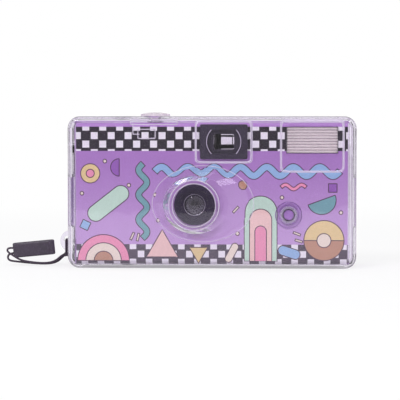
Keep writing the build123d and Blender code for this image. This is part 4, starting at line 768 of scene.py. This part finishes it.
def bar(x, z, length, width, turn=0.0):
    """A bar with round ends: each end is a half circle, the whole turned round its middle."""
    reach = (length - width) / 2
    ends = np.vstack([disc(reach, 0, width / 2, -90, 90), disc(-reach, 0, width / 2, 90, 270)])
    c, s = np.cos(np.radians(turn)), np.sin(np.radians(turn))
    return ends @ np.array([[c, s], [-s, c]]) + [x, z]


def corners(x, z, radius, count, turn=0.0):
    """A regular shape with straight sides, eight points along each."""
    a = np.radians(turn + 360.0 / count * np.arange(count + 1))
    tips = np.column_stack([x + radius * np.cos(a), z + radius * np.sin(a)])
    share = np.linspace(0.0, 1.0, 8, endpoint=False)[None, :, None]
    return (tips[:-1, None] * (1 - share) + tips[1:, None] * share).reshape(-1, 2)


def wave(x0, x1, z, swing, count):
    """z + swing sin(2 pi n t), with a swing so small that the strip doesn't fold over itself."""
    t = np.linspace(0.0, 1.0, 240)
    return np.column_stack([x0 + (x1 - x0) * t, z + swing * np.sin(2 * np.pi * count * t)])


def nested(inks_out_to_in, edges, side=-1):
    """Shapes one inside another, each two layers above the last."""
    for number, (ink, edge) in enumerate(zip(inks_out_to_in, edges)):
        filled(ink, edge, 2 + 2 * number, side)


# %% [markdown]
# The front has the fuller pattern; the back repeats a few of its shapes with more air.
# Rainbows and gates are half discs and arches that stand on the foot line.

# %% Lay the patterns
foot_line = 3.2


def rainbow(x, radii, side=-1):
    """Half discs on the foot line."""
    nested(("pink", "cream", "tan"), [disc(x, foot_line, radius, 0, 180) for radius in radii], side)


def gate(x, sizes, side=-1):
    """Arches on the foot line."""
    nested(("mint", "peach", "pink"), [arch(x, foot_line, *size) for size in sizes], side)


stroked("sky", wave(-23.5, 53.0, 40.4, 1.8, 7.0), 2.6)
rainbow(-45.0, (10.8, 7.4, 3.9))
filled("mint", bar(-43.0, 27.0, 20.0, 6.8, 38.0))
nested(("butter", "pink"), [disc(-50.5, 39.5, radius) for radius in (4.0, 1.7)])
stroked("teal", wave(12.6, 43.5, -28.6, 1.7, 3.0)[:, ::-1], 2.2)
filled("peach", corners(-20.5, 8.6, 7.6, 3, 90.0))
filled("plum", disc(-38.4, 42.0, 3.6, 90, 270))
filled("sky", corners(-52.6, 18.0, 2.5, 4, 20.0))
gate(20.4, ((13.6, 27.0), (9.2, 21.6), (4.8, 14.6)))
filled("teal", disc(45.6, 28.6, 6.0, 200, 380))
nested(
    ("butter", "tan", "cream"),
    [disc(46.6, 11.8, 8.3), disc(46.6, 11.8, 8.3, 180, 360), disc(46.6, 11.8, 2.9)],
)
stroked("pink", wave(29.0, 39.0, 34.0, 0.9, 1.5), 1.1)
filled("plum", corners(50.2, 33.6, 2.5, 4, 45.0))
filled("sky", bar(32.2, 6.8, 9.4, 4.0, -18.0))
filled("cream", bar(8.4, 6.6, 8.6, 3.0, 62.0))
filled("butter", corners(-5.4, 6.6, 4.4, 3, 30.0))
filled("tan", disc(12.8, 34.6, 1.9))

dots = (
    (-54.0, 31.2), (-34.4, 34.6), (-22.2, 20.0), (-23.4, 30.6),
    (10.8, 14.6), (29.2, 29.6), (53.6, 23.4), (-44.4, 44.6),
)
for x, z in dots:
    filled("cream", disc(x, z, 0.75))
dashes = (
    (-33.0, 13.4, 0.6, 1.3), (-30.6, 13.0, 0.3, 1.4), (35.4, 14.6, 1.3, -0.5),
    (36.2, 11.6, 1.3, -0.4), (9.6, 24.6, 1.0, 1.0),
)
for x, z, dx, dz in dashes:
    stroked("cream", np.array([[x - dx, z - dz], [x, z], [x + dx, z + dz]]), 0.5)

stroked("sky", wave(-53.0, 28.0, 38.0, 1.8, 7.0), 2.6, side=1)
gate(-42.0, ((13.6, 26.0), (9.2, 20.6), (4.8, 13.6)), side=1)
nested(("butter", "tan"), [disc(-18.0, 17.5, 8.0), disc(-18.0, 17.5, 8.0, 180, 360)], side=1)
filled("teal", disc(3.6, 12.0, 7.0, 0, 180), side=1)
rainbow(29.0, (11.5, 7.8, 4.0), side=1)
filled("sky", bar(46.0, 24.0, 15.0, 4.6, 60.0), side=1)
filled("plum", corners(12.0, 28.0, 3.2, 4, 20.0), side=1)
print("inks laid down:", sorted(ink_films))

# %% [markdown]
# All films of one ink become one object. Its material is that ink on the wrap's own card.

# %% Print the films
inks = {
    "pink": (240, 152, 182), "peach": (242, 204, 194), "mint": (196, 228, 204),
    "teal": (116, 168, 172), "tan": (192, 144, 116), "butter": (232, 208, 148),
    "sky": (150, 188, 224), "plum": (148, 92, 178), "cream": (240, 228, 208),
    "outline": (82, 48, 74),
}
for ink, parts in ink_films.items():
    ink_material, shader, output, place = new_material("ink_" + ink, **coated)
    print_on_card(shader, place, tone(*inks[ink]), 0.22)
    starts = np.cumsum([0] + [len(points) for points, faces in parts])
    points = np.vstack([points for points, faces in parts])
    faces = [face for start, (own, made) in zip(starts, parts) for face in (made + start).tolist()]
    add_piece("print_" + ink, points, faces, ink_material, smooth=False, outward=False)

# %% [markdown]
# The case is clear acrylic. Its two halves are real walls with an inner and an outer
# face, so one glass-like shader bends the light twice, as the real wall does, and the
# mouldings draw themselves as thin dark and light lines. For shadows and for soft bounced
# light the wall is let through straight, or the camera inside would be dark and noisy.

# %% Clear plastic
acrylic_bend = 1.49


def pass_straight(output, tint):
    """Shadow rays and diffuse rays go straight through, tinted; the others meet the shader."""
    tree = output["Surface"].id_data
    light = put("LightPath", tree=tree).outputs
    through = put("BsdfTransparent", {"Color": tint}, tree).outputs[0]
    straight = most(light["Is Shadow Ray"], light["Is Diffuse Ray"])
    surface = by_share(straight, output["Surface"].links[0].from_socket, through)
    wire(output, {"Surface": surface})
    return surface


def clear_plastic(
    name, tint, roughness, haze, wobble,
    joined=False, bend=acrylic_bend, clearness=1.0, **constants,
):
    """Acrylic: full transmission, hairlines that roughen it, and a slow wobble in its skin.

    Where joined is true, the faces at y = 0, where two halves touch, let light straight through.
    Bend is the refractive index, and clearness the share that isn't milky.
    """
    tint = tone(*tint)
    material, shader, output, place = new_material(
        name, Transmission_Weight=clearness, IOR=bend, Base_Color=tint, **constants
    )
    marks = scratches(place, 90.0, 0.004)
    grain = grained(place, tint, darker(tint, 0.97), roughness, 60.0, 45.0, 0.02)
    wire(shader, {
        "Base Color": grain["Color"],
        "Roughness": times_plus(marks, haze, grain["Roughness"]),
        "Normal": raised(1.0, wobble, grain["Height"]),
    })
    surface = pass_straight(output, (0.96, 0.95, 0.97, 1.0))
    if joined:
        depth = sums("ABSOLUTE", coordinates(place)["Y"])
        touching = less(depth, 0.01 * mm)
        open_way = put("BsdfTransparent", {"Color": full_white}, place.id_data).outputs[0]
        wire(output, {"Surface": by_share(touching, surface, open_way)})
    return material


for name, solids, *values, others in (
    ("clear_case", "case_front case_back", (243, 237, 249), 0.02, 0.10, 0.00006, {"joined": True}),
    ("clear_latch", "latch_left latch_right flash_push", (232, 222, 240), 0.03, 0.12, 0.00006, {}),
    ("button_clear", "case_button", (244, 234, 242), 0.22, 0.15, 0.00002, {"clearness": 0.55}),
    (
        "lens_glass", "taking_lens flash_tube", (252, 254, 255), 0.0, 0.0, 0.0,
        {"Coat_Weight": 0.3, "Coat_IOR": 1.8},
    ),
    (
        "finder_glass", "viewfinder_front_lens viewfinder_eyepiece", (255, 255, 255),
        0.0, 0.0, 0.0, {"bend": 1.08},
    ),
):
    finish(clear_plastic, name, solids, *values, **others)

# %% [markdown]
# The camera's own mouldings are black plastic: matt and finely grained on the covers,
# smoother on the knob that a thumb turns. Both are the moulded grain with other values.
# The two covers' ends carry a lilac card like the wrap's, and so does the well of the
# flash button. Two masks do it: how far out a point lies on the length of the camera, and
# how near it is to the button's axis.

# %% Black and coloured mouldings
end_skin, well_radius = 0.05 * mm, 8.0 * mm


def lilac_places(place):
    """1 on the covers' ends and in the well of the flash button, 0 elsewhere."""
    end_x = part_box("front_cover")[1].x - end_skin
    at_end = more(sums("ABSOLUTE", coordinates(place)["X"]), end_x)
    well_low, well_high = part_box("flash_push")
    well = (well_low + well_high) / 2
    reach = from_axis(place, (well.x, 0.0, well.z), (1.0, 0.0, 1.0))[1]
    return most(at_end, less(reach, well_radius))


def moulding(name, light, dark, roughness, grain_scale, depth, carded=None, **constants):
    """Opaque moulded plastic with its grain as a bump, and lilac card where carded says."""
    material, shader, output, place = new_material(name, **constants)
    grain = grained(place, tone(*light), tone(*dark), roughness, grain_scale)
    marks = times(scratches(place, 200.0, 0.006), 0.12)
    colour = blended(marks, grain["Color"], (0.35, 0.34, 0.36, 1.0))
    if carded:
        card = use_group(ink_on_card, {"Place": place, "Ink": tone(184, 140, 206), "Break": 0.14})
        colour = blended(carded(place), colour, card["Color"])
    dress(shader, colour, grain, 0.4, depth)
    return material


black, black_shade = (48, 38, 60), (36, 28, 46)
finish(
    moulding, "body_black",
    "main_frame shutter_button cartridge_spool supply_spool sprocket thumbwheel"
    " viewfinder_frame viewfinder_tunnel",
    black, black_shade, 0.42, 3500.0, 0.00004,
)
hood_black = finish(
    moulding, "hood_black", "lens_barrel aperture_plate shutter_blade",
    (46, 33, 62), (36, 25, 50), 0.6, 3500.0, 0.00001, Specular_IOR_Level=0.15,
)
finish(
    moulding, "cover_black", "front_cover back_cover",
    black, black_shade, 0.42, 3500.0, 0.00004, carded=lilac_places,
)
finish(
    moulding, "seal_clear", "case_gasket button_boot flash_push_seal",
    (226, 220, 230), (212, 206, 218), 0.35, 2500.0, 0.00003, Alpha=0.22,
)
for name, solids, *values in (
    ("knob_black", "advance_knob knob_shaft", (48, 42, 54), (34, 29, 38), 0.30, 5000.0, 0.00002),
    ("seal_rubber", "knob_seal friction_ring", (40, 38, 42), (28, 27, 30), 0.72, 2500.0, 0.00005),
    ("button_lilac", "flash_button", (188, 138, 214), (176, 122, 204), 0.34, 4500.0, 0.00002),
):
    finish(moulding, name, solids, *values)
finish(
    moulding, "ready_orange", "ready_lamp",
    (236, 128, 60), (214, 96, 44), 0.2, 4000.0, 0.00001, Coat_Weight=0.5,
)

# %% [markdown]
# Springs, pins and levers are bright steel, drawn or stamped, so their fine lines run one
# way. Stretching a noise along one axis gives that brushed look, in roughness and in height.

# %% Metals
brushed, given, result = new_group(
    "brushed",
    {"Place": nowhere, "Stretch": (1.0, 12.0, 12.0), "Roughness": 0.3},
    ["Roughness", "Height", "Mask"],
)
pulled = put("VectorMath", {0: given["Place"], 1: given["Stretch"]}, operation="MULTIPLY")
lines = noise(pulled.outputs[0], 900.0, 3.0)
around_half = minus(lines, 0.5)
wire(result, {
    "Roughness": times_plus(around_half, 0.2, given["Roughness"]),
    "Height": lines,
    "Mask": noise(given["Place"], 140.0, 4.0),
})


def metal(name, bright, stained, roughness, stretch, metallic=1.0):
    """Metal with brushed lines and a faint stain between two near tones."""
    material, shader, output, place = new_material(name, Metallic=metallic)
    lined = use_group(brushed, {"Place": place, "Stretch": stretch, "Roughness": roughness})
    dress(shader, blended(lined["Mask"], tone(*bright), tone(*stained)), lined, 0.15, 0.00002)
    return material


steel = finish(
    metal, "steel", "button_clip flash_push_clip kick_lever latch_pins shutter_pivot blade_spring",
    (206, 206, 210), (176, 176, 182), 0.28, (1.0, 12.0, 12.0),
)
finish(
    metal, "contact_brass", "battery_contacts",
    (222, 190, 120), (196, 160, 96), 0.32, (12.0, 1.0, 12.0),
)
finish(
    metal, "reflector", "flash_reflector",
    (255, 250, 246), (246, 240, 238), 0.30, (1.0, 10.0, 10.0), metallic=0.25,
)

# %% [markdown]
# Two coil springs hold the two shutter buttons up, and shorten when they are pressed.
# A spring that moved as one stiff thing would sink into the case. So each is a copy of
# the spring's own mesh, its loose triangles merged, that stays with the camera.

# %% Springs that stay with the camera
def add_coil(name, node):
    """A copy of a spring, its loose triangles merged and in steel, that rides on the camera in its
    place.
    """
    mesh = nodes[node].data.copy()
    merge(mesh)
    mesh.materials.clear()
    mesh.materials.append(steel)
    piece = add_object(name, mesh)
    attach(piece, "camera")
    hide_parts(node)
    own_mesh(piece)


add_coil("button_coil", "button_spring")
add_coil("shutter_coil", "shutter_spring")

# %% [markdown]
# The film can, the film and the battery carry plain patterns that follow one axis, so
# each reads its bands from the object's own coordinates: a pale label on the can, the
# square perforations along the film's edges, and the cap and jacket of the battery.

# %% Can, film and battery
def banded(name, low, high, axis, band_tone, base_tone, roughness, **constants):
    """A finish with one band of another tone between two places in mm on an axis."""
    material, shader, output, place = new_material(name, **constants)
    band_tone, base_tone = tone(*band_tone), tone(*base_tone)
    inside = between(coordinates(place)[axis], low, high)
    light = blended(inside, base_tone, band_tone)
    shade = blended(inside, darker(base_tone, 0.8), band_tone)
    grain = grained(place, light, shade, roughness)
    dress(shader, grain["Color"], grain, 0.2, 0.00002)
    return material


finish(
    banded, "battery_jacket", "battery", 12.0, 30.0, "X",
    (206, 170, 92), (64, 76, 108), 0.3, Coat_Weight=0.4,
)
for name, solids, *values in (
    ("can_metal", "cartridge_can", 8.0, 44.0, "Z", (236, 232, 222), (60, 60, 64), 0.34),
    ("flash_capacitor", "flash_capacitor", 20.0, 41.0, "Z", (52, 50, 58), (150, 150, 156), 0.3),
    ("flash_transformer", "flash_transformer", 26.0, 32.0, "Z", (222, 196, 96), (48, 44, 44), 0.45),
):
    finish(banded, name, solids, *values)

hole_pitch, hole_share, hole_half = 4.75 * mm, 0.58, 1.0 * mm
film_middle, rows_off_middle = 26.6 * mm, 14.6 * mm
film_stock, shader, output, place = new_material("film_stock", Coat_Weight=0.6, Coat_Roughness=0.1)
axes = coordinates(place)
beat = less(fraction(over(axes["X"], hole_pitch)), hole_share)
from_row = off(off(axes["Z"], film_middle), rows_off_middle)
holes = times(beat, less(from_row, hole_half))
grain = grained(place, tone(96, 74, 66), tone(80, 62, 58), 0.26, 3000.0)
dress(shader, blended(holes, grain["Color"], tone(24, 20, 22)), grain)
finish_nodes(film_stock, "film_strip film_roll")

# %% [markdown]
# The counter is a white disc with fine marks round its rim. A mark is a slice of the
# angle round the disc's own axis, kept only near the rim.

# %% Counter disc
counter_marks, mark_share, mark_foot = 28, 0.16, 5.4 * mm
counter_white, shader, output, place = new_material("counter_white")
low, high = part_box("counter_disc")
disc_axis = ((low.x + high.x) / 2, (low.y + high.y) / 2, 0.0)
flat, radius = from_axis(place, disc_axis, (1.0, 1.0, 0.0))
axes = coordinates(flat)
turns = times(sums("ARCTAN2", axes["Y"], axes["X"]), counter_marks / (2 * np.pi))
slices = less(fraction(turns), mark_share)
marks = times(slices, more(radius, mark_foot))
grain = grained(place, tone(238, 236, 232), tone(226, 222, 220), 0.4)
dress(shader, blended(marks, grain["Color"], tone(40, 38, 46)), grain)
finish_nodes(counter_white, "counter_disc")

# %% [markdown]
# The circuit board is green lacquer over copper. Traces are the thin walls between the
# cells of a square Voronoi pattern, which turns at right angles as real ones do, and the
# solder pads are small round spots on a regular beat.

# %% Circuit board
board_green, shader, output, place = new_material(
    "board_green", Coat_Weight=0.5, Coat_Roughness=0.15
)
squares = {"Vector": place, "Scale": 260.0, "Randomness": 0.7}
second = put("TexVoronoi", squares, distance="CHEBYCHEV", feature="F2").outputs["Distance"]
nearest = put("TexVoronoi", squares, distance="CHEBYCHEV").outputs["Distance"]
wall = less(minus(second, nearest), 0.10)
spots = put("TexVoronoi", {"Vector": place, "Scale": 300.0, "Randomness": 0.35})
pad = less(spots.outputs["Distance"], 0.17)
grain = grained(place, tone(40, 108, 74), tone(34, 92, 64), 0.35)
traced = blended(wall, grain["Color"], tone(86, 140, 84))
dress(shader, blended(pad, traced, tone(206, 204, 206)), grain)
wire(shader, {"Metallic": times(pad, 0.9)})
finish_nodes(board_green, "flash_board")

# %% [markdown]
# The flash window is a ribbed, slightly milky plastic in front of a bright trough. The
# ribs are in its solid. The material lets light in softly, and the grooves between
# the ribs get a darker tone, which is painted shade.

# %% Flash window
rib_count, rib_half = 9, 0.40
flash_window, shader, output, place = new_material(
    "flash_window", Transmission_Weight=0.65, IOR=acrylic_bend
)
grain = grained(place, tone(255, 250, 244), tone(250, 245, 242), 0.06, 3000.0)
pane_low, pane_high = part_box("flash_diffuser")
rib_pitch = (pane_high.z - pane_low.z) / rib_count
up_pane = minus(coordinates(place)["Z"], pane_low.z)
steps = fraction(over(up_pane, rib_pitch))
# Painted shade: the grooves between the ribs are darkened in the colour.
painted_groove_shade = more(off(steps, 0.5), rib_half)
dress(shader, blended(painted_groove_shade, grain["Color"], tone(172, 162, 172)), grain)
pass_straight(output, (0.95, 0.94, 0.93, 1.0))
finish_nodes(flash_window, "flash_diffuser")

# %% [markdown]
# Inside the hood of the lens, fine steps catch stray light and show as faint arcs. The
# stair is a profile of corners, spun round the lens's axis. Its back follows the
# plain cone of the solid, so the ring is closed.

# %% Stepped lens hood
def spun(profile, centre, count):
    """S(t, v) = centre + (r(t) cos v, y(t), r(t) sin v) for a profile of (r, y) points."""
    v = full_turn(count)[None, :]
    r, y = profile[:, 0][:, None], profile[:, 1][:, None]
    return np.stack([centre[0] + r * np.cos(v), y + 0 * v, centre[1] + r * np.sin(v)], axis=-1)


lens_x, lens_z = -6.9, 26.6
hood_outer, hood_inner, hood_front, hood_depth, hood_steps = 7.58, 4.45, -20.98, 2.3, 5
hood_sides = 96
edges_r = np.linspace(hood_outer, hood_inner, hood_steps + 1)
edges_y = hood_front + (hood_outer - edges_r) * hood_depth / (hood_outer - hood_inner)
stair = np.column_stack([np.repeat(edges_r, 2)[1:-1], np.repeat(edges_y, 2)[:-2]])
stair = np.vstack([[edges_r[0], edges_y[0]], stair, [edges_r[-1], edges_y[-1]]])
add_piece(
    "lens_hood_steps",
    spun(stair * mm, np.array([lens_x, lens_z]) * mm, hood_sides),
    grid_faces(len(stair), hood_sides, round_rows=True, round_columns=True),
    hood_black,
    smooth=False,
)

# %% [markdown]
# Two edges show as fine light lines: the round dish in front of the finder, cut flat
# above and below, and the rim of the lens's seat. Each is a fine round bead on a circle,
# glossy and painted light grey on the black moulding, so its light line is partly real gloss
# and partly a painted highlight; the dish's circle is left open where the flats cut it.

# %% Polished beads
# Painted highlight: the beads are light grey so that they show as light lines on the black
# mouldings.
painted_highlight_bead = moulding(
    "painted_highlight_bead", (214, 206, 222), (188, 180, 198), 0.18, 6000.0, 0.00001, Coat_Weight=0.6
)
bead_rows, bead_sides, bead_tip = 160, 12, 0.03 * mm


def bead(line, level, radius, closed):
    """S(u, v) = C(u) + r (cos v N + sin v Y): a tube on a flat line, N square to it."""
    flat = along(line, bead_rows, closed)[0]
    tangent = directions(flat, closed)
    v = full_turn(bead_sides)[None, :]
    across = flat[:, :1] - radius * np.cos(v) * tangent[:, 1:]
    up = flat[:, 1:] + radius * np.cos(v) * tangent[:, :1]
    return np.stack([across, level + radius * np.sin(v) + 0 * up, up], axis=-1) * mm


def round_box(x, z, width, height, power=0.14):
    """A rectangle with round corners: a superellipse of low power."""
    a = full_turn(720)
    wide, tall = squared(np.cos(a), power), squared(np.sin(a), power)
    return np.column_stack([x + width / 2 * wide, z + height / 2 * tall])


def add_beads(name, beads, material):
    """One object of several beads, each given as (line, level, radius, closed)."""
    points, faces = [], []
    for line, level, radius, closed in beads:
        rings = bead(line, level, radius, closed)
        if closed:
            own, made = rings.reshape(-1, 3), grid_faces(bead_rows, bead_sides, True, True).tolist()
        else:
            own, made = closed_ends(rings, bead_tip)
        start = sum(len(held) for held in points)
        faces += [[corner + start for corner in face] for face in made]
        points.append(own)
    add_piece(name, np.vstack(points), faces, material)


finder_x, finder_z, dish_radius, dish_half, dish_level = 5.1, 52.7, 7.1, 4.95, -17.2
cut = np.degrees(np.arcsin(dish_half / dish_radius))
dish_arcs = [
    (disc(finder_x, finder_z, dish_radius, middle - cut, middle + cut), dish_level, 0.17, False)
    for middle in (0.0, 180.0)
]
add_beads("finder_dish_rim", dish_arcs, painted_highlight_bead)
seat_ring = [(disc(lens_x, lens_z, 4.42), -18.68, 0.12, True)]
add_beads("lens_seat_rim", seat_ring, painted_highlight_bead)

# %% [markdown]
# The mouldings of the clear case end in round polished rims: two round the lens port,
# two round each of the raised windows, one along the foot of the bulge, and three on the
# button's housing. A fine clear bead there gathers the view into a thin line, as the real rims do,
# and a milky share in its plastic makes that line lighter, which is a painted highlight.

# %% Rims of the clear mouldings
# Painted highlight: the rims are partly milky, unlike the clear case they belong to, so they read
# as light lines.
painted_highlight_rim = clear_plastic("painted_highlight_rim", (236, 228, 244), 0.02, 0.0, 0.00001, clearness=0.6)
port_level, face_level = -24.42, -18.02
flash_x, flash_z = 41.7, 51.0
clear_rims = [
    (disc(lens_x, lens_z, 10.35), port_level, 0.24, True),
    (disc(lens_x, lens_z, 8.95), port_level, 0.20, True),
    (round_box(finder_x, finder_z, 22.6, 16.6), -19.34, 0.24, True),
    (round_box(flash_x, flash_z, 25.3, 20.7), -19.14, 0.24, True),
    (round_box(finder_x, finder_z, 23.6, 17.6), face_level, 0.20, True),
    (round_box(flash_x, flash_z, 26.3, 21.7), face_level, 0.20, True),
    (disc(-3.5, 27.0, 21.1, tall=31.6 / 42.2), face_level, 0.14, True),
    (round_box(-23.8, 60.8, 19.5, 2.0), -18.62, 0.18, True),
    (round_box(-26.85, 55.95, 7.2, 3.8), -18.52, 0.22, True),
    (np.array([[-32.5, 60.5], [-32.5, 55.8], [-29.8, 55.8]]), -18.52, 0.20, False),
]
add_beads("moulded_rims", clear_rims, painted_highlight_rim)

# %% [markdown]
# The table is a wide pale sheet that ends half a metre in front of the case, so that the
# flat clear faces mirror the dim room there and the blacks behind them stay deep. To the
# camera it shines as white as the backdrop, and in glass and gloss almost half as much, but
# part of what is seen stays real paint, so the soft shadow under the case is kept.

# %% Table
table_white, shader, output, place = new_material("table_white", Roughness=0.9)
paint = blended(noise(place, 30.0, 3.0), tone(242, 242, 244), tone(238, 238, 241))
wire(shader, {"Base Color": paint})
light = put("LightPath", tree=place.id_data).outputs
glow = put("Emission", {"Color": full_white, "Strength": 1.0}, place.id_data).outputs[0]
mirrored, near_share, near, far_off = 0.45, 0.72, 0.10, 0.60
far = put("VectorMath", {0: place}, operation="LENGTH").outputs["Value"]
bent = most(light["Is Glossy Ray"], light["Is Transmission Ray"])
seen = most(light["Is Camera Ray"], times(bent, mirrored))
share = times(seen, ramp(far, near, far_off, near_share, 1.0))
wire(output, {"Surface": by_share(share, output["Surface"].links[0].from_socket, glow)})

sheet_rows, sheet_columns = 13, 8
sheet_x, sheet_y = np.meshgrid(
    np.linspace(-3.0, 3.0, sheet_rows), np.linspace(-0.5, 3.0, sheet_columns), indexing="ij"
)
sheet_points = np.stack([sheet_x, sheet_y, np.zeros_like(sheet_x)], axis=-1)
mesh = bpy.data.meshes.new("table_sheet")
mesh.from_pydata(sheet_points.reshape(-1, 3), [], grid_faces(sheet_rows, sheet_columns))
mesh.materials.append(table_white)
table_sheet = add_object("table_sheet", mesh)

# %% [markdown]
# The room is white in front of and behind the case and dimmer to the sides, and in front it
# has a dim opening where the picture camera stands. The dim sides draw the dark lines in
# clear plastic, whose edges bend the view round to them, and the opening keeps flat clear
# faces from veiling the blacks. Soft light on the paint comes from the same room at a
# plain, even level. Directions are cosines here: 1 is straight back and -1 straight ahead.

# %% Room and lamps
world = bpy.data.worlds.new("white_room")
world.use_nodes = True
scene.world = world
tree = world.node_tree
tree.nodes.clear()
toward_back = coordinates(put("TexCoord", tree=tree).outputs["Generated"])["Y"]
toward_front = times(toward_back, -1.0)
dim, opening, even_level, least_gloss = 0.05, 0.22, 0.62, 0.32
back_wall = ramp(toward_back, 0.89, 0.982, dim, 1.0)
front_wall = ramp(toward_front, 0.20, 0.60, dim, 1.0)
camera_side = ramp(toward_back, -0.985, -0.93, opening, 1.0)
facing = most(back_wall, times(front_wall, camera_side))
light = put("LightPath", tree=tree).outputs
level = even_level
for ray, seen in (
    ("Transmission", facing),
    ("Glossy", most(facing, least_gloss)),
    ("Camera", 1.0),
):
    level = put("Mix", {0: light[f"Is {ray} Ray"], 2: level, 3: seen}, data_type="FLOAT").outputs[0]
air = put("Background", {"Color": full_white, "Strength": level})
put("OutputWorld", {"Surface": air.outputs[0]})


def soft_lamp(name, place, size, share):
    """A square lamp aimed at the case; share pi^2 d^2 W gives it that share of full light there."""
    away = Vector(place) - Vector(aim)
    lamp = bpy.data.lights.new(name, "AREA")
    lamp.size = size
    lamp.energy = share * np.pi**2 * away.length**2
    held = add_object(name, lamp)
    held.location = place
    held.rotation_euler = away.to_track_quat("Z", "Y").to_euler()
    print(name, "gives", round(lamp.energy, 2), "W")


soft_lamp("key_lamp", (-0.45, -0.85, 0.80), 0.40, 0.34)
soft_lamp("fill_lamp", (0.50, -0.75, 0.80), 0.30, 0.12)
soft_lamp("top_lamp", (0.05, 0.10, 1.00), 0.60, 0.25)
